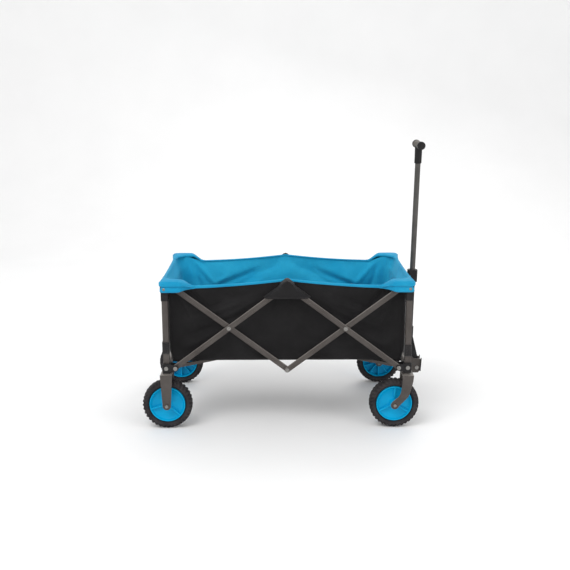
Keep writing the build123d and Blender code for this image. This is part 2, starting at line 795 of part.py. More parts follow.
with BuildPart() as rim_pockets:
    pocket_outer = outer_layer + bar_thickness / 2 + seat + rivet_head + sliding + pocket_wall
    pocket_top = rim_apex_z - 1.0
    for outward in sides.values():
        depth = pocket_outer - bag_half_width - seat
        with BuildSketch(Plane.XZ.offset(-outward * (pocket_outer + bag_half_width + seat) / 2)):
            with BuildLine():
                Polyline(
                    (-pocket_half_width, pocket_bottom),
                    (pocket_half_width, pocket_bottom),
                    (pocket_half_width, pocket_top - 14),
                    (0, pocket_top),
                    (-pocket_half_width, pocket_top - 14),
                    (-pocket_half_width, pocket_bottom),
                )
            make_face()
        extrude(amount=depth / 2, both=True)
        with BuildSketch(Plane.XZ.offset(
                -outward * (pocket_outer - pocket_wall + bag_half_width + seat + pocket_wall) / 2)):
            with BuildLine():
                Polyline(
                    (-pocket_half_width + pocket_wall, pocket_bottom - 1),
                    (pocket_half_width - pocket_wall, pocket_bottom - 1),
                    (pocket_half_width - pocket_wall, pocket_top - 14 - pocket_wall),
                    (0, pocket_top - pocket_wall),
                    (-pocket_half_width + pocket_wall, pocket_top - 14 - pocket_wall),
                    (-pocket_half_width + pocket_wall, pocket_bottom - 1),
                )
            make_face()
        extrude(amount=depth / 2 - pocket_wall, both=True, mode=Mode.SUBTRACT)
finish(rim_pockets, "rim_pockets", black_fabric)

# ---------------------------------------------------------------- pull handle
tube_axis = Vector(sin(radians(tube_lean)), 0, cos(radians(tube_lean)))
tube_foot = Vector(post_reach + tube_foot_reach, 0, cross_tube_z + tube_foot_rise)


def along_tube(distance):
    """A plane square to the handle's tube, this far above its foot."""
    return Plane(tube_foot + tube_axis * distance, x_dir=(0, 1, 0), z_dir=tube_axis)


collar_bottom = lower_tube_length - collar_length + 8
upper_tube_start = lower_tube_length - upper_tube_overlap
upper_tube_end = upper_tube_start + upper_tube_length
grip_centre = tube_foot + tube_axis * (upper_tube_end + stem_length + grip_radius - 3)
bore_radius = upper_tube_radius + sliding

with BuildPart() as handle_cradle:
    for plate_face in (cradle_gap / 2 + cradle_plate, -cradle_gap / 2):
        with BuildSketch(Plane.XZ.offset(-plate_face)):
            with BuildLine():
                Polyline(
                    (post_reach - 3, cross_tube_z - cross_tube_radius - 6),
                    (post_reach - 14, cross_tube_z - 4),
                    (post_reach - 8, cross_tube_z + cross_tube_radius + 3),
                    (post_reach + 8, cross_tube_z + cross_tube_radius + 3),
                    (handle_pivot_x - 12, handle_pivot_z + 34),
                    (handle_pivot_x + 14, handle_pivot_z + 32),
                    (handle_pivot_x + 11, handle_pivot_z - 12),
                    (handle_pivot_x + 4, handle_pivot_z - 19),
                    (handle_pivot_x - 14, handle_pivot_z - 19),
                    (post_reach - 3, cross_tube_z - cross_tube_radius - 6),
                )
            make_face()
            with Locations((post_reach, cross_tube_z)):
                Circle(cross_tube_radius, mode=Mode.SUBTRACT)
            with Locations((handle_pivot_x, handle_pivot_z)):
                Circle(pin_radius + running, mode=Mode.SUBTRACT)
        extrude(amount=cradle_plate)
finish(handle_cradle, "handle_cradle", dark_metal)

with BuildPart() as cradle_flange:
    for lip_face in (cradle_gap / 2 + cradle_lip, -cradle_gap / 2):
        with BuildSketch(Plane.XZ.offset(-lip_face)):
            with BuildLine():
                Polyline(
                    (handle_pivot_x + 11.0, handle_pivot_z - 12),
                    (handle_pivot_x + 14.0, handle_pivot_z + 32),
                    (handle_pivot_x + 16.0, handle_pivot_z + 36),
                    (handle_pivot_x + 16.0, handle_pivot_z + 30),
                    (handle_pivot_x + 13.6, handle_pivot_z - 12),
                    (handle_pivot_x + 11.0, handle_pivot_z - 12),
                )
            make_face()
        extrude(amount=cradle_lip)
finish(cradle_flange, "cradle_flange", black_plastic)

with BuildPart() as cradle_pin:
    pin_half = cradle_gap / 2 + cradle_plate
    with BuildSketch(Plane((handle_pivot_x, -pin_half, handle_pivot_z), x_dir=(1, 0, 0),
                           z_dir=(0, 1, 0))):
        Circle(pin_radius)
    extrude(amount=2 * pin_half)
    for outward in sides.values():
        stepped_pin(handle_pivot_x, handle_pivot_z, outward,
                    [(pin_half, pin_half + rivet_head, rivet_head_radius)])
finish(cradle_pin, "cradle_pin", bright_metal)

with BuildPart() as handle_yoke:
    yoke_run = tube_foot - Vector(handle_pivot_x, 0, handle_pivot_z)
    with BuildSketch(Plane((handle_pivot_x, -yoke_depth / 2, handle_pivot_z),
                           x_dir=yoke_run.normalized(), z_dir=(0, 1, 0))):
        with Locations((yoke_run.length / 2, 0)):
            SlotCenterToCenter(yoke_run.length, yoke_width)
        Circle(pin_radius + running, mode=Mode.SUBTRACT)
    extrude(amount=yoke_depth)
    with BuildSketch(along_tube(0)):
        Circle(lower_tube_radius + yoke_wall)
    extrude(amount=34)
    with BuildSketch(along_tube(0)):
        Circle(lower_tube_radius)
    extrude(amount=40, mode=Mode.SUBTRACT)
finish(handle_yoke, "handle_yoke", black_plastic)

with BuildPart() as lower_tube:
    with BuildSketch(along_tube(0)):
        Circle(lower_tube_radius)
        Circle(lower_tube_radius - lower_tube_wall, mode=Mode.SUBTRACT)
    extrude(amount=lower_tube_length)
finish(lower_tube, "lower_tube", black_plastic)

with BuildPart() as handle_collar:
    with BuildSketch(along_tube(collar_bottom)):
        RectangleRounded(collar_depth, collar_width, 8)
    extrude(amount=collar_length)
    with BuildSketch(along_tube(collar_bottom)):
        Circle(lower_tube_radius)
    extrude(amount=lower_tube_length - collar_bottom, mode=Mode.SUBTRACT)
    with BuildSketch(along_tube(lower_tube_length)):
        Circle(bore_radius)
    extrude(amount=collar_length, mode=Mode.SUBTRACT)
finish(handle_collar, "handle_collar", black_plastic)

with BuildPart() as upper_tube:
    with BuildSketch(along_tube(upper_tube_start)):
        Circle(upper_tube_radius)
        Circle(upper_tube_radius - upper_tube_wall, mode=Mode.SUBTRACT)
    extrude(amount=upper_tube_length)
finish(upper_tube, "upper_tube", dark_metal)

with BuildPart() as t_grip:
    with BuildSketch(along_tube(upper_tube_end - 24)):
        Circle(stem_radius)
    extrude(amount=stem_length + 24)
    grip_core = grip_half_length - grip_cap_length
    with BuildSketch(Plane(grip_centre - Vector(0, grip_core, 0), x_dir=(1, 0, 0), z_dir=(0, 1, 0))):
        Circle(grip_radius)
    extrude(amount=2 * grip_core)
    with BuildSketch(along_tube(upper_tube_end - 24)):
        Circle(upper_tube_radius)
    extrude(amount=24, mode=Mode.SUBTRACT)
finish(t_grip, "t_grip", dark_metal)

with BuildPart() as grip_caps:
    for outward in sides.values():
        with BuildSketch(Plane(grip_centre + Vector(0, outward * grip_core, 0), x_dir=(1, 0, 0),
                               z_dir=(0, outward, 0))):
            Circle(grip_radius)
        extrude(amount=grip_cap_length)
    fillet(grip_caps.edges().group_by(Axis.Y)[0] + grip_caps.edges().group_by(Axis.Y)[-1], 4)
finish(grip_caps, "grip_caps", black_plastic)
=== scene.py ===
import json
from math import cos, hypot, pi, radians, sin

import bpy
import numpy as np
from mathutils import Matrix, Vector


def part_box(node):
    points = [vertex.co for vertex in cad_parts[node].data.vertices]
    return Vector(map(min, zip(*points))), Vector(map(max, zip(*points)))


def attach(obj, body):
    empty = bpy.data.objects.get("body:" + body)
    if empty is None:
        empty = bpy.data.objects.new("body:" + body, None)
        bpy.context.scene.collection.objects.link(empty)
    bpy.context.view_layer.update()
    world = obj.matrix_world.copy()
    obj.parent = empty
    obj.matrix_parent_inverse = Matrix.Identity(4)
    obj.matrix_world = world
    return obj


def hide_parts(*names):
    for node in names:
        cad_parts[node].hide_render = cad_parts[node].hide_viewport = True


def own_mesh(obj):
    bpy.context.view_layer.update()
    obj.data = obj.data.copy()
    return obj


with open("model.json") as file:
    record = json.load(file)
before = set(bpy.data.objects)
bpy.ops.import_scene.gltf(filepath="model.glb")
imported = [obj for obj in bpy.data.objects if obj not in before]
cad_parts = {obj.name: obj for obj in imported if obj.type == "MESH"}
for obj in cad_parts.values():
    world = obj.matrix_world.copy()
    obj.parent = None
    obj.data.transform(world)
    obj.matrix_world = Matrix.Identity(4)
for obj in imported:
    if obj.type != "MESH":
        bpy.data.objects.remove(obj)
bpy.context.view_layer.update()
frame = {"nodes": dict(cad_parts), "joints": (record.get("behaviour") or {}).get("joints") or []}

scene = bpy.context.scene
SIDES = {"right": -1, "left": 1}
ENDS = {"rear": -1, "front": 1}

# ---------- sizes read from the frame
def corners(node_name):
    """The lower and the upper corner of a CAD node's box."""
    return [Vector(corner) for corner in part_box(node_name)]


bag_lo, bag_hi = corners("bag")
post_lo, post_hi = corners("front_posts")
block_lo, block_hi = corners("front_top_fittings")
pin_lo, pin_hi = corners("front_upper_pins")

HALF_LENGTH = bag_hi.x
HALF_WIDTH = bag_hi.y
BAG_BOTTOM = bag_lo.z
POST_REACH = (post_lo.x + post_hi.x) / 2
BLOCK_REACH = block_hi.x  # outer face of the corner blocks, along X
BLOCK_SIDE = pin_hi.y  # outermost rivet head at a top corner, along Y
CORNER_TOP = block_hi.z
CORNER_BOTTOM = block_lo.z
APEX = bag_hi.z - 0.003  # the rim's height in the middle of a side
PIVOT_REACH = (pin_lo.x + pin_hi.x) / 2


# ---------- camera, light and floor
def aim(position, yaw, pitch):
    """The matrix of a camera that looks along +Y, turned by yaw and pitched down."""
    turn = Matrix.Rotation(yaw, 4, "Z") @ Matrix.Rotation(pi / 2 - pitch, 4, "X")
    return Matrix.Translation(position) @ turn


camera_data = bpy.data.cameras.new("camera")
camera_data.lens = 56.1
camera_data.sensor_width = 36.0
camera = bpy.data.objects.new("camera", camera_data)
scene.collection.objects.link(camera)
camera.matrix_world = aim(Vector((-0.0412, -3.0497, 1.1334)), -0.012, 0.2251)
scene.camera = camera
scene.view_settings.view_transform = "Standard"


def area_light(name, position, target, size, power):
    """A soft square light that points at a place."""
    data = bpy.data.lights.new(name, "AREA")
    data.size = size
    data.energy = power
    light = bpy.data.objects.new(name, data)
    scene.collection.objects.link(light)
    light.location = position
    light.rotation_euler = (Vector(target) - Vector(position)).to_track_quat("-Z", "Y").to_euler()


CENTRE = (0.0, 0.0, 0.3)
area_light("key", (-1.6, -2.2, 3.4), CENTRE, 2.2, 62.0)
area_light("fill", (2.8, -2.4, 1.6), CENTRE, 2.0, 20.0)
area_light("rim", (0.8, 2.6, 2.8), CENTRE, 2.4, 34.0)

world = bpy.data.worlds.new("studio")
world.use_nodes = True
world.node_tree.nodes["Background"].inputs["Color"].default_value = (1.0, 1.0, 1.0, 1.0)
world.node_tree.nodes["Background"].inputs["Strength"].default_value = 0.85
scene.world = world


# ---------- materials
def rgb(red, green, blue):
    """A colour given as 0 to 255 on a screen, in the linear values that shaders take."""
    out = []
    for part in (red, green, blue):
        share = part / 255
        out.append(share / 12.92 if share <= 0.04045 else ((share + 0.055) / 1.055) ** 2.4)
    return (*out, 1.0)


class Look:
    """A material while it is put together: its nodes, its coordinates and its shader."""

    def __init__(self, name, **constants):
        """Each constant goes straight on the shader's socket of that name."""
        self.material = bpy.data.materials.new(name)
        self.material.use_nodes = True
        self.tree = self.material.node_tree
        self.shader = self.tree.nodes["Principled BSDF"]
        for socket, value in constants.items():
            self.shader.inputs[socket.replace("_", " ")].default_value = value
        self.coords = self.node("TexCoord").outputs["Object"]

    def feed(self, socket, source):
        """Drive one of the shader's sockets."""
        self.tree.links.new(source, self.shader.inputs[socket])

    def node(self, kind, settings=None, **inputs):
        """Add a node. An input is a value or the socket that feeds it; inN is input number N."""
        made = self.tree.nodes.new("ShaderNode" + kind)
        for key, value in (settings or {}).items():
            setattr(made, key, value)
        for key, value in inputs.items():
            by_number = key.startswith("in") and key[2:].isdigit()
            socket = made.inputs[int(key[2:]) if by_number else key.replace("_", " ")]
            if isinstance(value, bpy.types.NodeSocket):
                self.tree.links.new(value, socket)
            else:
                socket.default_value = value
        return made

    def noise(self, scale, detail=3.0, roughness=0.5, coords=None):
        """Noise from 0 to 1."""
        return self.node("TexNoise", Vector=coords or self.coords, Scale=scale, Detail=detail,
                         Roughness=roughness).outputs[0]

    def spread(self, value, low, high, to_low=0.0, to_high=1.0):
        """A value mapped from one range to another, and held inside it."""
        return self.node("MapRange", in0=value, in1=low, in2=high, in3=to_low,
                         in4=to_high).outputs[0]

    def blend_colors(self, factor, first, second):
        """A mix of two colours."""
        return self.node("Mix", {"data_type": "RGBA"}, in0=factor, in6=first,
                         in7=second).outputs[2]

    def calculate(self, operation, first, second):
        """One arithmetic step."""
        return self.node("Math", {"operation": operation}, in0=first, in1=second).outputs[0]

    def bumps(self, steps, edge=None):
        """Bumps in a row, as (height, distance) each, on rounded edges if edge is given."""
        normal = None
        if edge:
            normal = self.node("Bevel", {"samples": 6}, Radius=edge).outputs[0]
        for height, distance in steps:
            bump = self.node("Bump", Strength=1.0, Distance=distance, Height=height)
            if normal is not None:
                self.tree.links.new(normal, bump.inputs["Normal"])
            normal = bump.outputs[0]
        return normal


def coated_metal(name, color, worn_and_highlight, roughness=0.42, metallic=0.3, edge=0.0016):
    """Powder-coated steel: fine orange peel, a few scuffs, edges lightened as rubbed paint and as a
    painted highlight, and a painted highlight on upward faces.
    """
    look = Look(name, Metallic=metallic)
    cloud = look.noise(18.0, 5.0)
    peel = look.noise(1100.0, 2.0)
    speckle = look.spread(look.noise(900.0, 2.0), 0.62, 0.7)
    stretched = look.node("Mapping", Vector=look.coords, Scale=(25.0, 25.0, 240.0)).outputs[0]
    scuffs = look.spread(look.noise(1.0, 6.0, 0.7, coords=stretched), 0.68, 0.76)
    # edges are lightened in patches towards the pale tone: rubbed paint, and a painted highlight on the
    # rounded edges
    rounded = look.node("Bevel", {"samples": 6}, Radius=edge).outputs[0]
    facing = look.node("NewGeometry").outputs["Normal"]
    turned = look.node("VectorMath", {"operation": "DOT_PRODUCT"}, in0=rounded,
                       in1=facing).outputs["Value"]
    patches = look.spread(look.noise(60.0, 5.0), 0.35, 0.65, 0.15, 0.8)
    rubbed_and_highlit_edges = look.calculate("MULTIPLY", look.spread(turned, 0.97, 0.80), patches)
    wear_and_highlight = look.calculate("MAXIMUM", look.calculate("MULTIPLY", scuffs, 0.15), rubbed_and_highlit_edges)
    wear_and_highlight = look.calculate("MAXIMUM", wear_and_highlight, look.calculate("MULTIPLY", speckle, 0.12))
    # painted highlight: faces that turn upwards are lightened towards the pale tone, so their tops look
    # lit from above
    upward = look.node("SeparateXYZ", Vector=facing).outputs["Z"]
    dust_and_highlight = look.calculate("MULTIPLY", look.spread(upward, 0.25, 0.85), 0.55)
    wear_and_highlight = look.calculate("MAXIMUM", wear_and_highlight, dust_and_highlight)
    shade = look.blend_colors(look.spread(cloud, 0.3, 0.7, 0.0, 0.12), color, worn_and_highlight)
    look.feed("Base Color", look.blend_colors(wear_and_highlight, shade, worn_and_highlight))
    look.feed("Roughness", look.spread(cloud, 0.25, 0.75, roughness - 0.06, roughness + 0.08))
    look.feed("Normal", look.bumps([(peel, 0.00004), (scuffs, -0.00003)], edge))
    return look.material


def moulded_plastic(name, color, light, roughness=0.45, grain=0.00006, edge=0.0007):
    """Moulded plastic: a fine spark-eroded grain, flow clouding and scratches."""
    look = Look(name, Specular_IOR_Level=0.14)
    cloud = look.noise(22.0, 4.0)
    spark = look.node("TexVoronoi", Vector=look.coords, Scale=1500.0).outputs["Distance"]
    stretched = look.node("Mapping", Vector=look.coords, Scale=(30.0, 260.0, 90.0)).outputs[0]
    scratches = look.spread(look.noise(1.0, 6.0, 0.75, coords=stretched), 0.67, 0.74)
    shade = look.blend_colors(look.spread(cloud, 0.3, 0.72, 0.0, 0.35), color, light)
    scratched = look.calculate("MULTIPLY", scratches, 0.3)
    look.feed("Base Color", look.blend_colors(scratched, shade, light))
    look.feed("Roughness", look.spread(cloud, 0.25, 0.75, roughness - 0.08, roughness + 0.08))
    look.feed("Normal", look.bumps([(spark, grain), (scratches, -0.00004)], edge))
    return look.material


def bright_metal(name):
    """Zinc-plated steel: cloudy plating with turned and handling marks."""
    look = Look(name, Metallic=1.0)
    cloud = look.noise(160.0, 4.0)
    turned = look.node("Mapping", Vector=look.coords, Scale=(2600.0, 120.0, 2600.0)).outputs[0]
    marks = look.noise(1.0, 2.0, coords=turned)
    look.feed("Base Color", look.blend_colors(cloud, rgb(96, 94, 92), rgb(166, 164, 160)))
    look.feed("Roughness", look.spread(cloud, 0.3, 0.7, 0.2, 0.42))
    look.feed("Normal", look.bumps([(marks, 0.00003)], 0.0006))
    return look.material


def rubber(name, color, dusty, roughness=0.72, dust_and_highlight=0.4):
    """Moulded rubber: fine grain, and dusty where it is low."""
    look = Look(name, Specular_IOR_Level=0.15)
    cloud = look.noise(30.0, 5.0)
    grain = look.noise(1300.0, 3.0)
    low = look.spread(look.node("NewGeometry").outputs["Pointiness"], 0.5, 0.42)
    amount = look.calculate("MULTIPLY", look.calculate("MULTIPLY", low, cloud), dust_and_highlight)
    shade = look.blend_colors(look.spread(cloud, 0.35, 0.7, 0.0, 0.3), color, dusty)
    look.feed("Base Color", look.blend_colors(amount, shade, dusty))
    look.feed("Roughness", look.spread(cloud, 0.3, 0.7, roughness - 0.08, roughness + 0.1))
    look.feed("Normal", look.bumps([(grain, 0.00008)]))
    return look.material


def woven(name, color, light, thread=0.0009, roughness=0.82, sheen=0.25, flat=False, ribs=None,
          crumple=0.0006):
    """Woven cloth on a map in metres: crossing threads with painted shade in the gaps between them,
    slubs, soft creases and faded patches.

    ribs gives webbing its long cords: their pitch in metres. flat cloth lies level and needs no map."""
    look = Look(name, Sheen_Weight=sheen, Sheen_Roughness=0.45, Specular_IOR_Level=0.14)
    place = look.coords if flat else look.node("UVMap", {"uv_map": "cloth"}).outputs[0]
    wave = 0.314159  # a wave texture of scale 1 repeats after this length
    across, along = (look.node("TexWave", {"bands_direction": way}, Vector=place,
                               Scale=wave / thread, Distortion=0.6, Detail=1.0).outputs["Fac"]
                     for way in "XY")
    over = look.node("TexChecker", Vector=place, Scale=1 / thread).outputs["Fac"]
    under = look.calculate("SUBTRACT", 1.0, over)
    threads = look.calculate("ADD", look.calculate("MULTIPLY", across, over),
                             look.calculate("MULTIPLY", along, under))
    cloud = look.noise(9.0, 5.0, 0.6)
    drawn = look.node("Mapping", Vector=place, Scale=(60.0, 900.0, 60.0)).outputs[0]
    slubs = look.noise(1.0, 3.0, coords=drawn)
    creases = look.noise(38.0, 3.0, 0.45)
    shade = look.blend_colors(look.spread(cloud, 0.32, 0.7, 0.0, 0.7), color, light)
    # painted shade: the gaps between threads are darkened towards under half the cloth's colour
    painted_gap_shade = (*(part * 0.45 for part in color[:3]), 1.0)
    shade = look.blend_colors(look.spread(threads, 0.0, 0.9, 0.35, 0.0), shade, painted_gap_shade)
    thick = look.spread(slubs, 0.6, 0.75, 0.0, 0.3)
    look.feed("Base Color", look.blend_colors(thick, shade, light))
    steps = [(creases, crumple), (threads, 0.00022), (slubs, 0.00008)]
    if ribs:
        cords = look.node("TexWave", {"bands_direction": "Y"}, Vector=place,
                          Scale=wave / ribs).outputs["Fac"]
        steps.insert(1, (cords, 0.0006))
    look.feed("Normal", look.bumps(steps))
    look.feed("Roughness", look.spread(threads, 0.0, 1.0, roughness + 0.08, roughness - 0.04))
    return look.material


FRAME_GREY = coated_metal("coated_frame", rgb(62, 56, 53), rgb(160, 154, 148))
TUBE_GREY = coated_metal("coated_tube", rgb(62, 60, 58), rgb(160, 156, 150), roughness=0.36)
BLACK_PLASTIC = moulded_plastic("black_plastic", rgb(30, 29, 30), rgb(66, 65, 66))
BLUE_PLASTIC = moulded_plastic("blue_rim_plastic", rgb(0, 154, 202), rgb(0, 174, 218),
                               roughness=0.38, grain=0.00003)
STEEL = bright_metal("plated_steel")
TYRE_RUBBER = rubber("tyre_rubber", rgb(34, 32, 36), rgb(86, 82, 80))
GRIP_RUBBER = rubber("grip_rubber", rgb(82, 77, 72), rgb(120, 114, 106), roughness=0.6)
BLACK_CLOTH = woven("black_polyester", rgb(24, 23, 24), rgb(40, 39, 40), roughness=0.6, sheen=0.05)
BLUE_CLOTH = woven("blue_polyester", rgb(16, 150, 198), rgb(44, 172, 212), roughness=0.7,
                   sheen=0.08)
LINING_CLOTH = woven("blue_lining", rgb(26, 168, 214), rgb(54, 186, 224), thread=0.0007,
                     roughness=0.66, sheen=0.08)
BOARD_CLOTH = woven("board_cover", rgb(46, 45, 48), rgb(72, 71, 74), flat=True)
WEBBING = woven("black_webbing", rgb(32, 31, 32), rgb(60, 58, 58), thread=0.0012, ribs=0.0042)
BLUE_THREAD = woven("blue_thread", rgb(20, 120, 180), rgb(90, 190, 226), thread=0.0003, flat=True)
BLACK_THREAD = woven("black_thread", rgb(50, 49, 50), rgb(96, 94, 95), thread=0.0003, flat=True)


# ---------- mesh building
def add_object(name, verts, faces, material, body, corner_map=None, sharp=40.0):
    """A mesh object that rides a body. corner_map holds one (u, v) in metres per face corner."""
    mesh = bpy.data.meshes.new(name)
    mesh.from_pydata([tuple(v) for v in verts], [], faces)
    mesh.validate()
    if corner_map is not None:
        layer = mesh.uv_layers.new(name="cloth")
        layer.uv.foreach_set("vector", np.asarray(corner_map, np.float32).ravel())
    mesh.polygons.foreach_set("use_smooth", [True] * len(mesh.polygons))
    mesh.set_sharp_from_angle(angle=radians(sharp))
    mesh.materials.append(material)
    obj = bpy.data.objects.new(name, mesh)
    scene.collection.objects.link(obj)
    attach(obj, body)
    return obj


def cloth_grid(name, points, material, body, wrap=False, thickness=0.0012):
    """A cloth sheet from rows and columns of points, with thickness and its map in metres.

    wrap joins the last column to the first. Returns the object and its flat size."""
    rows, cols = points.shape[:2]
    across = np.roll(points, -1, 1) - points if wrap else np.diff(points, axis=1)
    widths = np.linalg.norm(across, axis=2).mean(0)
    heights = np.linalg.norm(np.diff(points, axis=0), axis=2).mean(1)
    u = np.concatenate([[0.0], np.cumsum(widths)])
    v = np.concatenate([[0.0], np.cumsum(heights)])
    faces = []
    corners = []
    for row in range(rows - 1):
        for col in range(cols if wrap else cols - 1):
            right = (col + 1) % cols
            faces.append((row * cols + col, row * cols + right,
                          (row + 1) * cols + right, (row + 1) * cols + col))
            corners += [(u[col], v[row]), (u[col + 1], v[row]),
                        (u[col + 1], v[row + 1]), (u[col], v[row + 1])]
    obj = add_object(name, points.reshape(-1, 3), faces, material, body, corners, 60.0)
    solid = obj.modifiers.new("thickness", "SOLIDIFY")
    solid.thickness = thickness
    solid.offset = 0.0
    return obj, (float(u[-1]), float(v[-1]))


def lathe(profile, segments, relief=None):
    """Verts and faces of a closed profile of (radius, along) turned about the local Z axis.

    relief(angle, index) is how far each profile point moves in towards the axis and the middle."""
    verts = []
    faces = []
    count = len(profile)
    for step in range(segments):
        angle = 2 * pi * step / segments
        for index, (radius, along) in enumerate(profile):
            sink, narrow = relief(angle, index) if relief else (0.0, 0.0)
            reach = radius - sink
            verts.append((reach * cos(angle), reach * sin(angle), along * (1 - narrow)))
    for step in range(segments):
        after = (step + 1) % segments
        for index in range(count):
            other = (index + 1) % count
            faces.append((step * count + index, after * count + index,
                          after * count + other, step * count + other))
    return verts, faces


def placed(verts, centre, axis, turn=0.0):
    """Local points put at a centre, with local Z along axis and local X nearest the world's X."""
    axis = Vector(axis).normalized()
    side = (Vector((1.0, 0.0, 0.0)) - axis * axis.x).normalized()
    up = axis.cross(side)
    out = []
    for x, y, z in verts:
        across = x * cos(turn) - y * sin(turn)
        upward = x * sin(turn) + y * cos(turn)
        out.append(Vector(centre) + side * across + up * upward + axis * z)
    return out


def prism(outline, low, high):
    """Verts and faces of an outline of (x, y) between two heights, closed."""
    count = len(outline)
    verts = [(x, y, low) for x, y in outline] + [(x, y, high) for x, y in outline]
    faces = [tuple(reversed(range(count))), tuple(range(count, 2 * count))]
    for index in range(count):
        other = (index + 1) % count
        faces.append((index, other, count + other, count + index))
    return verts, faces


def joined(parts):
    """Several (verts, faces) as one."""
    verts = []
    faces = []
    for more_verts, more_faces in parts:
        base = len(verts)
        verts += list(more_verts)
        faces += [tuple(base + index for index in face) for face in more_faces]
    return verts, faces


def smooth(value):
    """An S curve from 0 to 1."""
    value = np.clip(value, 0.0, 1.0)
    return value * value * (3 - 2 * value)


def ease(value):
    """The same S curve for one number."""
    value = min(max(value, 0.0), 1.0)
    return value * value * (3 - 2 * value)


def stitch_row(points, normals, pitch=0.0052, length=0.0036, radius=0.00045):
    """Verts and faces of a row of stitches along a line of points, lying on the given normals."""
    points = np.asarray(points, float)
    run = np.concatenate([[0.0], np.cumsum(np.linalg.norm(np.diff(points, axis=0), axis=1))])

    def at(place, rows):
        return np.array([np.interp(place, run, column) for column in np.transpose(rows)])

    parts = []
    for middle in np.arange(pitch / 2, run[-1], pitch):
        first = at(middle - length / 2, points)
        last = at(middle + length / 2, points)
        up = at(middle, normals)
        up /= np.linalg.norm(up)
        across = np.cross(last - first, up)
        across *= radius / np.linalg.norm(across)
        lift = up * radius
        verts = [first, last]
        for share in (0.25, 0.75):
            core = first + (last - first) * share + lift
            verts += [core + lift, core + across, core - lift, core - across]
        faces = []
        for k in range(4):
            after = (k + 1) % 4
            faces += [(0, 2 + k, 2 + after), (2 + k, 6 + k, 6 + after, 2 + after),
                      (6 + k, 1, 6 + after)]
        parts.append((verts, faces))
    return joined(parts)


def turned_piece(name, profile, segments, centre, axis, material, body, relief=None,
                 sharp=40.0):
    """A piece turned about an axis through a centre."""
    verts, faces = lathe(profile, segments, relief)
    return add_object(name, placed(verts, centre, axis), faces, material, body, sharp=sharp)


def round_edges(obj, width, segments, degrees):
    """A bevel on every edge that turns more than so many degrees."""
    bevel = obj.modifiers.new("edges", "BEVEL")
    bevel.width = width
    bevel.segments = segments
    bevel.limit_method = "ANGLE"
    bevel.angle_limit = radians(degrees)


def stitching(name, line, normals, material, body):
    """One row of stitches as a piece."""
    verts, faces = stitch_row(line, normals)
    return add_object(name, verts, faces, material, body)


# ---------- wheels
LUGS = 36
GROOVE = 0.0016  # depth of the tread's grooves in the middle
SHOULDER_GROOVE = 0.0019  # how much deeper they are at the shoulders
SHOULDER_PINCH = 0.09  # how far a groove narrows the tyre there, as a share
BEAD = 0.0007  # height of the line round each sidewall


def tyre_profile(rim_radius, radius, half_width):
    """The tyre's cross section: a squarish ring with rounded shoulders, closed at the rim."""
    middle = (rim_radius + radius) / 2
    tall = (radius - rim_radius) / 2
    count = 44
    power = 2 / 3.4  # between an ellipse and a box
    out = []
    for step in range(count):
        angle = 2 * pi * step / count - pi / 2
        along = half_width * abs(cos(angle)) ** power * (1 if cos(angle) > 0 else -1)
        reach = middle + tall * abs(sin(angle)) ** power * (1 if sin(angle) > 0 else -1)
        tuck = 1 - 0.18 * ease((middle - reach) / tall)
        out.append((reach, along * tuck))
    return out


def tread(profile, rim_radius, radius, half_width):
    """How deep the tread's grooves are, by angle and profile point."""
    rows = []
    for reach, along in profile:
        height = (reach - rim_radius) / (radius - rim_radius)
        edge = abs(along) / half_width
        rows.append((ease((height - 0.50) / 0.25), edge, 0.5 * (along > 0) + 0.6 * edge,
                     BEAD * ease(1 - abs(height - 0.3) / 0.05)))

    def relief(angle, index):
        sidewall, edge, skew, bead = rows[index]
        phase = (angle * LUGS / (2 * pi) + skew) % 1.0
        groove = ease((0.30 - abs(phase - 0.5)) / 0.13) * sidewall
        return groove * (GROOVE + SHOULDER_GROOVE * edge) - bead, groove * SHOULDER_PINCH * edge
    return relief


def make_tyre(end, side):
    """A knobbly tyre in place of the CAD tyre."""
    low, high = corners(f"{end}_tyre_{side}")
    rim_low, rim_high = corners(f"{end}_rim_{side}")
    radius = (high.z - low.z) / 2
    rim_radius = (rim_high.z - rim_low.z) / 2
    half_width = (high.y - low.y) / 2
    profile = tyre_profile(rim_radius, radius, half_width)
    relief = tread(profile, rim_radius, radius, half_width)
    tyre = turned_piece(f"tread_tyre_{end}_{side}", profile, LUGS * 10, (low + high) / 2,
                        (0, SIDES[side], 0), TYRE_RUBBER, f"{end}_wheel_{side}", relief,
                        sharp=180.0)
    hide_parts(f"{end}_tyre_{side}")


RIB_TURN = {"rear": 77, "front": 88}  # where a rim's first outer rib stands, in degrees


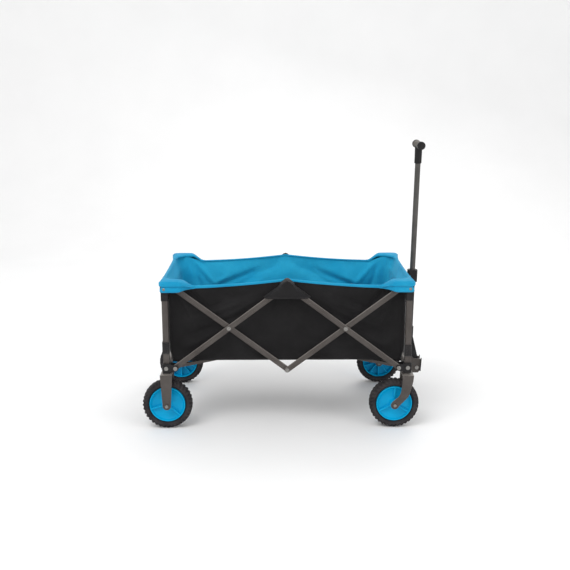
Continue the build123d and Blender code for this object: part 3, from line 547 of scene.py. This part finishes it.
def make_rim(end, side):
    """A dished rim with three ribs outside and ten inside, in place of the CAD rim."""
    low, high = corners(f"{end}_rim_{side}")
    radius = (high.z - low.z) / 2
    hub_end = (high.y - low.y) / 2
    lip = 0.017  # half the rim's width
    bore = 0.0042
    hub = 0.015
    profile = [
        (radius, lip - 0.003), (radius - 0.0005, lip - 0.0008), (radius - 0.0015, lip),
        (radius - 0.0032, lip), (radius - 0.0042, lip - 0.0012), (radius - 0.005, lip - 0.004),
        (radius - 0.0075, lip - 0.0075), (radius - 0.013, lip - 0.0105),
        (radius - 0.022, lip - 0.0122), (radius - 0.032, lip - 0.0122),
        (hub + 0.0062, lip - 0.0112), (hub + 0.002, lip - 0.0088), (hub + 0.0004, lip - 0.004),
        (hub, lip), (hub - 0.0006, hub_end - 0.0012), (hub - 0.0018, hub_end),
        (bore, hub_end), (bore, -hub_end), (hub - 0.0018, -hub_end),
        (hub - 0.0006, -hub_end + 0.0012), (hub, -lip), (hub + 0.0004, -0.003),
        (hub + 0.004, 0.0004), (radius - 0.030, 0.0008), (radius - 0.014, 0.0022),
        (radius - 0.0062, 0.0012), (radius - 0.0042, -0.003), (radius - 0.0034, -lip + 0.002),
        (radius - 0.0026, -lip), (radius - 0.0008, -lip), (radius, -lip + 0.002),
    ]
    parts = [lathe(profile, 96)]

    def rib(degrees, far, half, low_level, high_level):
        turn = radians(degrees)
        near = hub - 0.002
        outline = [(near, -half), (far, -half), (far, half), (near, half)]
        return prism([(x * cos(turn) - y * sin(turn), x * sin(turn) + y * cos(turn))
                      for x, y in outline], low_level, high_level)

    for step in range(3):
        parts.append(rib(RIB_TURN[end] + 120 * step, radius - 0.004, 0.0021,
                         lip - 0.0135, lip - 0.0022))
    for step in range(10):
        parts.append(rib(18 + 36 * step, radius - 0.003, 0.0014, -lip + 0.004, 0.0016))
    verts, faces = joined(parts)
    outward = SIDES[side]
    verts = [(x, y * -outward, z) for x, y, z in verts]
    verts = placed(verts, (low + high) / 2, (0, outward, 0))
    rim = add_object(f"dished_rim_{end}_{side}", verts, faces, BLUE_PLASTIC,
                     f"{end}_wheel_{side}", sharp=32.0)
    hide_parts(f"{end}_rim_{side}")
    round_edges(rim, 0.0005, 2, 50)


for end_name in ENDS:
    for side_name in SIDES:
        make_tyre(end_name, side_name)
        make_rim(end_name, side_name)

# ---------- bag
DIP = 0.022  # rim's apex to its lowest point
DIP_REACH = HALF_LENGTH - 0.078
RISE_REACH = HALF_LENGTH - 0.024
CAP_REACH = DIP_REACH - 0.006  # the caps run from here to the corners
LINING_CORNER = 0.034  # radius of the lining's corners
SEED = 7

# folds of a half wall: start and end, as (place along the wall, depth below the rim), width, depth
SIDE_CREASES = (
    ((0.372, 0.000), (0.345, 0.17), 0.008, 0.010),
    ((0.352, 0.000), (0.300, 0.14), 0.009, -0.008),
    ((0.335, 0.0), (0.250, 0.10), 0.009, 0.007),
    ((0.378, 0.06), (0.360, 0.25), 0.010, 0.007),
    ((0.06, 0.03), (0.37, 0.13), 0.012, -0.009),
    ((0.05, 0.07), (0.38, 0.19), 0.015, 0.010),
    ((0.14, 0.10), (0.37, 0.235), 0.012, -0.008),
    ((0.20, 0.05), (0.31, 0.115), 0.010, 0.005),
    ((0.02, 0.12), (0.18, 0.26), 0.020, 0.003),
)
END_CREASES = (
    ((0.205, 0.0), (0.150, 0.16), 0.009, 0.0070),
    ((0.190, 0.0), (0.110, 0.10), 0.010, -0.0050),
    ((0.15, 0.10), (0.03, 0.24), 0.016, 0.0030),
)


def rim_height(x):
    """The rim's height along a side: a peak in the middle, a dip and a rise to each corner."""
    reach = np.abs(x)
    share = np.minimum(reach / DIP_REACH, 1.0)
    sagging = APEX - DIP * share - 0.004 * np.sin(pi * share)
    rise = smooth((reach - DIP_REACH) / (RISE_REACH - DIP_REACH))
    return sagging + (CORNER_TOP - APEX + DIP) * rise


def soft_noise(x, y, size_x, size_y, seed):
    """Smooth noise from -1 to 1 over cells of the given size."""
    table = np.random.RandomState(seed).uniform(-1, 1, (64, 64))
    column = np.asarray(x) / size_x + 17
    row = np.asarray(y) / size_y + 17
    left = np.floor(column).astype(int)
    low = np.floor(row).astype(int)
    across = smooth(column - left)
    upward = smooth(row - low)

    def at(i, j):
        return table[(low + j) % 64, (left + i) % 64]

    return ((at(0, 0) * (1 - across) + at(1, 0) * across) * (1 - upward)
            + (at(0, 1) * (1 - across) + at(1, 1) * across) * upward)


def crease(x, h, start, end, width, depth):
    """A fold that runs between two places on a wall, deepest in the middle of its run."""
    run = np.array(end) - np.array(start)
    length = hypot(*run)
    along = ((x - start[0]) * run[0] + (h - start[1]) * run[1]) / length
    across = ((x - start[0]) * run[1] - (h - start[1]) * run[0]) / length
    fade = smooth(along / (0.3 * length)) * smooth((length - along) / (0.35 * length))
    return depth * fade * np.exp(-(across / width) ** 2)


def tent_folds(x, h):
    """Creases that run down from the rim's peak: slack cloth above them, a taut tent below."""
    below = h - 0.54 * np.abs(x)
    above = np.where(below < 0, np.exp(below / 0.024), np.exp(-below / 0.09))
    reach = smooth((np.abs(x) - 0.01) / 0.05) * smooth((0.30 - np.abs(x)) / 0.12)
    return -0.012 * above * reach


def creased(relief, place, h, folds):
    """A wall's relief with its folds added to both halves."""
    for sign in (-1, 1):
        for start, end, width, depth in folds:
            relief = relief + crease(place, h, (sign * start[0], start[1]),
                                     (sign * end[0], end[1]), width, depth)
    return relief


def side_relief(x, h, seed):
    """How far a side wall stands in from its plane, by place along X and depth below the rim."""
    out = creased(tent_folds(x, h), x, h, SIDE_CREASES)
    out += 0.0022 * soft_noise(x + 0.45 * h, h - 0.3 * x, 0.085, 0.05, seed)
    out += 0.0010 * soft_noise(x - 0.6 * h, h + 0.2 * x, 0.032, 0.026, seed + 1)
    return out


def end_relief(y, h, seed):
    """The same for an end wall, by place along Y."""
    out = creased(0.0, y, h, END_CREASES)
    out += 0.0026 * soft_noise(y + 0.3 * h, h, 0.07, 0.05, seed)
    out += 0.0010 * soft_noise(y, h, 0.026, 0.022, seed + 1)
    return out


def loop_stations(half_length, half_width, radius, long_steps, short_steps):
    """Stations round the bag, as rows of place, outward normal, wall number and run along it.

    Walls 0 to 3 are right, front, left and rear, and 4 is a corner."""
    out = []
    corner_steps = 7
    for wall, (nx, ny) in enumerate(((0, -1), (1, 0), (0, 1), (-1, 0))):
        reach, span, count = ((half_length, half_width, short_steps) if nx
                              else (half_width, half_length, long_steps))
        for step in range(count):
            run = (2 * (step + 0.5) / count - 1) * (span - radius)
            x = nx * reach - ny * run
            y = ny * reach + nx * run
            out.append((x, y, nx, ny, wall, x if wall % 2 == 0 else y))
        for step in range(corner_steps):
            angle = pi / 2 * (wall - 1) + pi / 2 * (step + 0.5) / corner_steps
            corner_x = (half_length - radius) * (1 if wall < 2 else -1)
            corner_y = (half_width - radius) * (1 if wall in (1, 2) else -1)
            out.append((corner_x + radius * cos(angle), corner_y + radius * sin(angle),
                        cos(angle), sin(angle), 4, 0.0))
    return np.array(out).T


END_RIM = CORNER_TOP - 0.0015  # the rim's height along the ends


def end_flare(z):
    """How far the bag's ends stand out beyond its floor, by height: they are tied to the posts."""
    return 0.0100 * smooth((z - BAG_BOTTOM) / 0.05) + 0.0130 * smooth((z - 0.445) / 0.045)


def bottom_arch(x):
    """How far the lower edge of a side rises between the ends."""
    return 0.009 * np.clip(1 - (x / HALF_LENGTH) ** 2, 0, 1)


def wall_sheet(inset_top, inset_low, inset_least, bottom, rows, steps, radius):
    """Points of the bag's four walls as one band of cloth.

    It is inset so far at the rim and below it, and no fold brings it further out than the least."""
    x, y, nx, ny, wall, run = loop_stations(HALF_LENGTH - inset_top, HALF_WIDTH - inset_top,
                                            radius, steps, steps // 2)
    side = np.isin(wall, (0, 2))
    end = np.isin(wall, (1, 3))
    top = np.where(side | (wall == 4), rim_height(x), END_RIM) - 0.0015
    low = bottom + bottom_arch(x)
    share = np.linspace(0, 1, rows)[:, None]
    z = low + (top - low) * share
    h = top - z
    bend = np.zeros_like(z)
    for number in range(4):
        here = wall == number
        relief, span = ((end_relief, HALF_WIDTH) if number % 2 else (side_relief, HALF_LENGTH))
        folds = relief(run[here][None, :], h[:, here], SEED + 3 * number)
        left_over = span - np.abs(run[here])
        # folds towards the inside stop where the lining's wide corners begin
        bend[:, here] = np.where(folds > 0, folds * smooth((left_over - LINING_CORNER) / 0.03),
                                 folds * smooth((left_over - radius) / 0.03))
    slack = (inset_low - inset_top) * np.abs(ny) * smooth((HALF_LENGTH - np.abs(x)) / 0.05)
    moved = smooth(h / 0.07) * slack + smooth(h / 0.014) * (0.0015 + bend)
    moved = np.maximum(moved * smooth((z - low) / 0.02), inset_least - inset_top)
    px = x - nx * moved
    py = y - ny * moved
    px = px + np.sign(x) * end_flare(z) * smooth((np.abs(x) - 0.30) / 0.08)
    return np.stack([px, py, z], axis=2)


def crumples(obj):
    """Gives the cloth a mesh of its own."""
    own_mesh(obj)


def walls(name, points, material, thickness):
    """The bag's four walls in one cloth."""
    obj, flat = cloth_grid(name, points, material, "top_rear", wrap=True,
                           thickness=thickness)
    crumples(obj)
    return obj


outer = walls("bag_outer", wall_sheet(0.0008, 0.0125, 0.0004, BAG_BOTTOM, 52, 130, 0.014),
              BLACK_CLOTH, 0.0010)
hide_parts("bag")
walls("bag_lining", wall_sheet(0.0035, 0.0170, 0.0030, BAG_BOTTOM + 0.0022, 60, 150, LINING_CORNER),
      LINING_CLOTH, 0.0008)


def floor_sheet(name, end, height, inset, material):
    """Half of the bag's floor: level under its board, rising to the walls, turning with the board."""
    forward = ENDS[end]
    board = 0.195  # half the width that stays level
    xs = np.linspace(0.0, HALF_LENGTH - inset, 40)
    half = HALF_WIDTH - inset
    ys = np.concatenate([np.linspace(-half, -0.194, 8), np.linspace(-0.18, 0.18, 22),
                         np.linspace(0.194, half, 8)])
    points = np.zeros((len(ys), len(xs), 3))
    for row, y in enumerate(ys):
        rise = bottom_arch(xs) * ease((abs(y) - board) / (half - board))
        sag = 0.0004 * soft_noise(xs * forward, np.full_like(xs, y), 0.06, 0.05, SEED + 31)
        points[row] = np.stack([xs * forward, np.full_like(xs, y),
                                height + rise + sag * (rise < 0.001)], axis=1)
    obj, flat = cloth_grid(name, points, material, f"{end}_floor", thickness=0.0007)


for end_name in ENDS:
    floor_sheet(f"bag_floor_{end_name}", end_name, BAG_BOTTOM + 0.0002, 0.0012, BLACK_CLOTH)
    floor_sheet(f"floor_lining_{end_name}", end_name, BAG_BOTTOM + 0.0015, 0.0045, LINING_CLOTH)


# ---------- rim bands and corner caps
HEM_ROWS = 18  # points up the outside of a hem
CAP_COLUMNS = 72


def hem_section(outer_xy, inner_xy, low, top, inner_low, crown, steps=6):
    """One cross section of a folded hem: up the outside, over the top, down the inside."""
    outer_xy = np.array(outer_xy)
    inner_xy = np.array(inner_xy)
    width = float(np.linalg.norm(outer_xy - inner_xy))
    inward = (inner_xy - outer_xy) / width
    radius = min(0.0065, width * 0.45)
    out = []
    for share in np.linspace(0, 1, HEM_ROWS):
        out.append((*outer_xy, low + (top - radius - low) * share))
    for step in range(1, steps + 1):
        angle = pi / 2 * step / steps
        place = outer_xy + inward * radius * (1 - cos(angle))
        out.append((*place, top - radius + radius * sin(angle)))
    for share in np.linspace(0.2, 0.8, 4):
        place = outer_xy + inward * (radius + (width - 2 * radius) * share)
        out.append((*place, top + crown * sin(pi * share)))
    for step in range(steps + 1):
        angle = pi / 2 * step / steps
        place = inner_xy - inward * radius * (1 - sin(angle))
        out.append((*place, top - radius + radius * cos(angle)))
    out.append((*inner_xy, inner_low))
    return out


def hem(name, body, columns, seam, normal):
    """A folded hem from its cross sections, and the row of stitches along its seam."""
    band, flat = cloth_grid(name, np.array(columns).transpose(1, 0, 2), BLUE_CLOTH, body,
                            thickness=0.0010)
    threads = stitching(name.replace("band", "stitching"), seam, [normal] * len(seam),
                        BLUE_THREAD, body)
    return band, threads


def side_band(side):
    """The blue hem along one side's rim."""
    outward = SIDES[side]
    lap = 0.008  # under each cap
    inner_y = HALF_WIDTH - 0.0058
    columns = []
    seam = []
    for x in np.linspace(-CAP_REACH - lap, CAP_REACH + lap, 110):
        top = float(rim_height(x)) + 0.0015
        low = top - (0.0070 + 0.0022 * ease((abs(x) - 0.14) / 0.15))
        outer_y = HALF_WIDTH + 0.0012 + 0.0004 * float(soft_noise(x, 0.0, 0.04, 1.0, SEED + 41))
        columns.append(hem_section((x, outward * outer_y), (x, outward * inner_y), low, top,
                                   top - 0.0045, 0.0))
        seam.append((x, outward * (outer_y + 0.0006), low + 0.0016))
    for piece in hem(f"rim_band_{side}", "top_rear", columns, seam, (0, outward, 0)):
        crumples(piece)


def end_band(end):
    """The blue hem along one end's rim, between the corner caps."""
    forward = ENDS[end]
    reach = 0.165
    outer_x = BLOCK_REACH + 0.0008
    inner_x = outer_x - 0.0085
    columns = []
    seam = []
    for y in np.linspace(-reach, reach, 50):
        top = END_RIM + 0.0012 - 0.002 * (1 - (y / reach) ** 2)
        columns.append(hem_section((forward * outer_x, y), (forward * inner_x, y), top - 0.014,
                                   top, top - 0.0060, 0.0))
        seam.append((forward * (outer_x + 0.0006), y, top - 0.0116))
    hem(f"rim_band_{end}", f"top_{end}", columns, seam, (forward, 0, 0))


def spaced(path, count):
    """Points evenly along a path in plan."""
    run = np.concatenate([[0.0], np.cumsum(np.linalg.norm(np.diff(path, axis=0), axis=1))])
    even = np.linspace(0, run[-1], count)
    return np.stack([np.interp(even, run, path[:, k]) for k in range(2)], axis=1)


def plan_curve(*stops):
    """A cap's columns in plan, along a smooth curve through a few points."""
    window = 35  # fine points that are averaged
    path = spaced(np.array(stops, float), 400)
    kernel = np.hanning(window)
    kernel /= kernel.sum()
    held = np.pad(path, ((window // 2, window // 2), (0, 0)), mode="edge")
    path = np.stack([np.convolve(held[:, k], kernel, "valid") for k in range(2)], axis=1)
    return spaced(path, CAP_COLUMNS)


def corner_cap(end, side):
    """The blue cap that wraps one top corner, from the side's hem round to the end's hem."""
    signs = np.array((ENDS[end], SIDES[side], 1.0))
    out_y = BLOCK_SIDE + 0.0016
    out_x = BLOCK_REACH + 0.0014
    swell = 0.007 if side == "left" else 0.0
    end_y = 0.150
    bottom = CORNER_BOTTOM + 0.001
    outer_plan = plan_curve(
        (CAP_REACH, HALF_WIDTH + 0.0022), (CAP_REACH + 0.012, HALF_WIDTH + 0.006),
        (PIVOT_REACH - 0.022, out_y), (out_x + swell - 0.006, out_y),
        (out_x + swell, out_y - 0.008), (out_x + swell * 0.6, 0.2050),
        (BLOCK_REACH + 0.0016, end_y))
    inner_plan = plan_curve(
        (CAP_REACH, HALF_WIDTH - 0.0060), (HALF_LENGTH - 0.012, HALF_WIDTH - 0.0060),
        (HALF_LENGTH + 0.014, HALF_WIDTH - 0.030), (BLOCK_REACH - 0.0075, end_y))
    last = CAP_COLUMNS - 1
    columns = []
    seam = []
    normals = []
    for index, (outer_at, inner_at) in enumerate(zip(outer_plan, inner_plan)):
        if outer_at[1] > 0.238 or outer_at[0] < POST_REACH:
            top = float(rim_height(outer_at[0])) + 0.0020
            top += 0.0012 * ease((outer_at[0] - CAP_REACH) / 0.05)
            low = float(rim_height(CAP_REACH)) - 0.0085
            low += (bottom - low) * ease((outer_at[0] - 0.328) / 0.035)
        else:
            inward = ease((0.235 - outer_at[1]) / 0.075)
            top = CORNER_TOP + 0.0032 - 0.0030 * inward
            low = bottom + (END_RIM - 0.0160 - CORNER_BOTTOM) * inward
        bulge = sin(pi * min(1.0, index / 62))
        columns.append(hem_section(outer_at, inner_at, low, top, top - 0.006, 0.0030 * bulge))
        ahead = outer_plan[min(index + 1, last)] - outer_plan[max(index - 1, 0)]
        normal = np.array((-ahead[1], ahead[0])) / np.linalg.norm(ahead)
        if normal @ (outer_at - np.array((0.35, 0.20))) < 0:
            normal = -normal
        seam.append((*(outer_at + normal * 0.0008), low + 0.0030))
        normals.append((*normal, 0.0))
    points = np.array(columns).transpose(1, 0, 2)
    normals = np.array(normals)
    # the upper part overhangs in a soft roll, and the cloth is never quite even
    share = np.linspace(0, 1, CAP_COLUMNS)
    x, y, z = np.moveaxis(points[:HEM_ROWS + 1], 2, 0)
    line = z[0] + (0.64 + 0.20 * (1 - smooth(share / 0.35))) * (z[HEM_ROWS] - z[0])
    roll = 0.0034 * smooth((z - line) / 0.0022 + 0.5) * smooth(share / 0.06)
    roll -= 0.0016 * np.exp(-((z - line + 0.0016) / 0.0022) ** 2) * smooth(share / 0.1)
    roll *= smooth((0.80 - share) / 0.2)
    roll += 0.0011 * soft_noise(x + y, z, 0.020, 0.011, SEED + 51)
    points[:HEM_ROWS + 1] += roll[..., None] * normals
    points *= signs
    body = f"top_{end}"
    cap, flat = cloth_grid(f"corner_cap_{end}_{side}", points, BLUE_CLOTH, body,
                           thickness=0.0012)
    threads = stitching(f"cap_stitching_{end}_{side}", np.array(seam) * signs, normals * signs,
                        BLUE_THREAD, body)
    rivet_profile = [(0.0, 0.0), (0.0046, 0.0), (0.0048, 0.0006), (0.0040, 0.0016),
                     (0.0022, 0.0022), (0.0, 0.0023)]
    turned_piece(f"cap_rivet_{end}_{side}", rivet_profile, 28,
                 signs * (POST_REACH, out_y + 0.0004, CORNER_BOTTOM + 0.012),
                 (0, SIDES[side], 0), STEEL, body)


for side_name in SIDES:
    side_band(side_name)
for end_name in ENDS:
    end_band(end_name)
    for side_name in SIDES:
        corner_cap(end_name, side_name)


# ---------- pockets over the upper joints
def joint_pocket(side):
    """The black hood over an upper middle joint, peaked at the top and open below."""
    outward = SIDES[side]
    low, high = corners("rim_pockets")
    pin_ends = corners(f"bar1_rivets_{side}")
    half = high.x
    out_y = max(high.y, abs(pin_ends[0].y), abs(pin_ends[1].y)) + 0.0010
    bottom = low.z
    front = 0.86  # share of the rows below the rim, the rest go over it
    rows = 30
    cols = 48
    points = np.zeros((rows, cols, 3))
    for row in range(rows):
        share = row / (rows - 1)
        height = min(share / front, 1.0)
        over = max(share - front, 0.0) / (1 - front)
        spread_x = (half + 0.004) * (1 - height) + 0.024 * height
        for col in range(cols):
            across = 2 * col / (cols - 1) - 1
            x = spread_x * across
            peak = APEX + 0.0035 - 0.016 * ease(abs(x) / 0.030)
            swell = (1 - abs(across) ** 8.0) ** 0.5
            z = bottom + (peak - 0.006 - bottom) * height + 0.006 * sin(pi / 2 * over)
            stand = (out_y - HALF_WIDTH - 0.0020) * swell
            y = HALF_WIDTH + 0.0020 + stand * cos(pi / 2 * over) - 0.005 * (1 - cos(pi / 2 * over))
            y += 0.0006 * float(soft_noise(x, z, 0.02, 0.012, SEED + 61)) * (1 - height)
            points[row, col] = (x, outward * y, z)
    hood, flat = cloth_grid(f"joint_pocket_{side}", points, BLACK_CLOTH, "top_rear",
                            thickness=0.0011)
    edge = [(x, y + outward * 0.0009, z + 0.0035) for x, y, z in points[0]]
    threads = stitching(f"pocket_stitching_{side}", edge, [(0, outward, 0)] * len(edge),
                        BLACK_THREAD, "top_rear")
    if outward > 0:
        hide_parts("rim_pockets")
    crumples(hood)
    crumples(threads)


for side_name in SIDES:
    joint_pocket(side_name)


# ---------- webbing round the posts
WEBBING_HALF = 0.0112  # half the width of the loop round a post


def webbing_band(end, side):
    """A loop of webbing round a post, with a tab of the same webbing laid through it."""
    signs = np.array((ENDS[end], SIDES[side], 1.0))
    body = f"{end}_frame"
    low, high = corners(f"{end}_straps")
    post_y = high.y - 0.012
    radius = 0.0028
    steps = 5
    loop = []
    for corner in range(4):
        cx = POST_REACH + (WEBBING_HALF - radius) * (1 if corner in (0, 3) else -1)
        cy = post_y + (WEBBING_HALF - radius) * (1 if corner in (0, 1) else -1)
        for step in range(steps + 1):
            angle = pi / 2 * corner + pi / 2 * step / steps
            loop.append((cx + radius * cos(angle), cy + radius * sin(angle)))
    loop.append(loop[0])
    loop = np.array(loop)
    ys = np.linspace(high.y, post_y - WEBBING_HALF - 0.0004, 12)
    xs = POST_REACH - 0.0042 + 0.0003 * np.sin(ys * 260)
    rows = 14
    wraps = []
    tabs = []
    for row in range(rows):
        z = low.z + 0.0008 + (high.z - low.z - 0.0016) * row / (rows - 1)
        breathe = 0.0002 * np.sin(np.linspace(0, 9, len(loop)) + row * 0.5)
        eased = loop + (loop - (POST_REACH, post_y)) * breathe[:, None] / WEBBING_HALF
        wraps.append(np.column_stack([eased, np.full(len(loop), z)]) * signs)
        tabs.append(np.column_stack([xs, ys, np.full(len(ys), z)]) * signs)
    band, flat = cloth_grid(f"post_webbing_{end}_{side}", np.array(wraps), WEBBING, body,
                            thickness=0.0016)
    tab, tab_flat = cloth_grid(f"post_tab_{end}_{side}", np.array(tabs), WEBBING, body,
                               thickness=0.0016)
    face = post_y + WEBBING_HALF + 0.0010
    lines = [[(POST_REACH + across, face, low.z + 0.004 + step * 0.0033) for step in range(11)]
             for across in (-0.006, 0.006)]
    lines += [[(POST_REACH + across, face, z) for across in (-0.006, 0.0, 0.006)]
              for z in (low.z + 0.004, high.z - 0.004)]
    verts, faces = joined([stitch_row(np.array(line) * signs, [(0, SIDES[side], 0)] * len(line))
                           for line in lines])
    threads = add_object(f"webbing_stitching_{end}_{side}", verts, faces, BLACK_THREAD, body)
    if side == "right":
        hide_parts(f"{end}_straps")


for end_name in ENDS:
    for side_name in SIDES:
        webbing_band(end_name, side_name)

# ---------- grip
slide_axis = next(joint["axis"] for joint in frame["joints"] if joint["name"] == "handle_slide")
grip_lo, grip_hi = corners("grip_caps")
stem_lo, stem_hi = corners("t_grip")
grip_centre = (grip_lo + grip_hi) / 2
grip_radius = (grip_hi.z - grip_lo.z) / 2
core = stem_hi.y  # half the length between the end caps

rings = 25
bar_profile = [(0.0, -core)]
for step in range(rings):
    share = 2 * step / (rings - 1) - 1
    bar_profile.append((grip_radius - 0.0012 - 0.0010 * cos(pi * share / 2), share * core))
bar_profile.append((0.0, core))


def finger_ridges(angle, index):
    """Low rings along the grip, for hold."""
    return (0.00045 * sin(index * 2.6) if 1 < index < rings else 0.0), 0.0


grip_bar = turned_piece("grip_bar", bar_profile, 64, grip_centre, (0, 1, 0), GRIP_RUBBER,
                        "handle_upper", finger_ridges, sharp=50.0)
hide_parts("t_grip")

stem_length = grip_centre.z - stem_lo.z
stem_profile = [(0.0, -stem_length), (0.0106, -stem_length), (0.0118, -stem_length + 0.0012),
                (0.0123, -stem_length + 0.0040), (0.0123, -stem_length + 0.0300),
                (0.0125, -0.0170), (0.0129, -0.0125), (0.0120, -0.0060), (0.0, -0.0060)]


def flutes(angle, index):
    """Upright flutes in the stem."""
    return (0.0006 * (0.5 + 0.5 * cos(14 * angle)) if 3 <= index <= 5 else 0.0), 0.0


turned_piece("grip_stem", stem_profile, 112, grip_centre, slide_axis, BLACK_PLASTIC,
             "handle_upper", flutes, sharp=50.0)

cap_profile = [(0.0, 0.0), (grip_radius - 0.0010, 0.0), (grip_radius, 0.0012),
               (grip_radius, 0.0075), (grip_radius - 0.0012, 0.0105), (grip_radius - 0.0035, 0.0120),
               (grip_radius - 0.0055, 0.0118), (grip_radius - 0.0064, 0.0106),
               (0.0046, 0.0104), (0.0036, 0.0110), (0.0, 0.0112)]
for side_name, outward in SIDES.items():
    end_cap = turned_piece(f"grip_end_{side_name}", cap_profile, 56,
                           grip_centre + Vector((0, outward * core, 0)), (0, outward, 0),
                           BLACK_PLASTIC, "handle_upper")
    if outward > 0:
        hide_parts("grip_caps")

# ---------- finishes of the CAD pieces
BARS = {f"bar{number}_{side_name}" for number in range(1, 5) for side_name in SIDES}
ROLLED = BARS | {"rear_posts", "front_posts"}  # drawn tube with rounded edges
FINISHES = (  # a material and what node names end in
    (FRAME_GREY, ("posts", "cross_tube", "floor_frame", "forks", "fork_right", "fork_left",
                  "handle_cradle", *BARS)),
    (TUBE_GREY, ("upper_tube",)),
    (BLACK_PLASTIC, ("post_guides", "brackets", "top_fittings", "cradle_flange", "handle_yoke",
                     "lower_tube", "handle_collar")),
    (BOARD_CLOTH, ("floor_board",)),
    (STEEL, ("pins", "cradle_pin", "rivets_right", "rivets_left", "bolts", "bolt_right",
             "bolt_left")),
)

for finish, endings in FINISHES:
    for name, obj in frame["nodes"].items():
        if name.endswith(endings):
            for material_slot in obj.material_slots:
                material_slot.material = finish

for name in sorted(ROLLED):
    obj = frame["nodes"][name]
    weld = obj.modifiers.new("weld", "WELD")
    weld.merge_threshold = 0.00002
    round_edges(obj, 0.0022, 3, 60)
    obj.modifiers.new("normals", "WEIGHTED_NORMAL")

# ---------- floor and backdrop
floor_look = Look("pale_floor", Roughness=0.7)
floor_look.feed("Base Color", floor_look.blend_colors(floor_look.noise(3.0), rgb(240, 240, 240),
                                                      rgb(246, 246, 246)))
FRONT = -6.0  # the floor's near edge
BACK = 4.2  # the backdrop's plane
CURVE = 1.5  # radius between the two
WALL_TOP = 5.0
HALF_SPAN = 9.0
profile = [(FRONT, 0.0), (BACK - CURVE, 0.0)]
for step in range(1, 13):
    angle = pi / 2 * step / 12
    profile.append((BACK - CURVE + CURVE * sin(angle), CURVE - CURVE * cos(angle)))
profile.append((BACK, WALL_TOP))
verts = [(x, y, z) for y, z in profile for x in (-HALF_SPAN, HALF_SPAN)]
faces = [(2 * k, 2 * k + 1, 2 * k + 3, 2 * k + 2) for k in range(len(profile) - 1)]
mesh = bpy.data.meshes.new("studio_floor")
mesh.from_pydata(verts, [], faces)
mesh.polygons.foreach_set("use_smooth", [True] * len(mesh.polygons))
mesh.materials.append(floor_look.material)
studio_floor = bpy.data.objects.new("studio_floor", mesh)
scene.collection.objects.link(studio_floor)
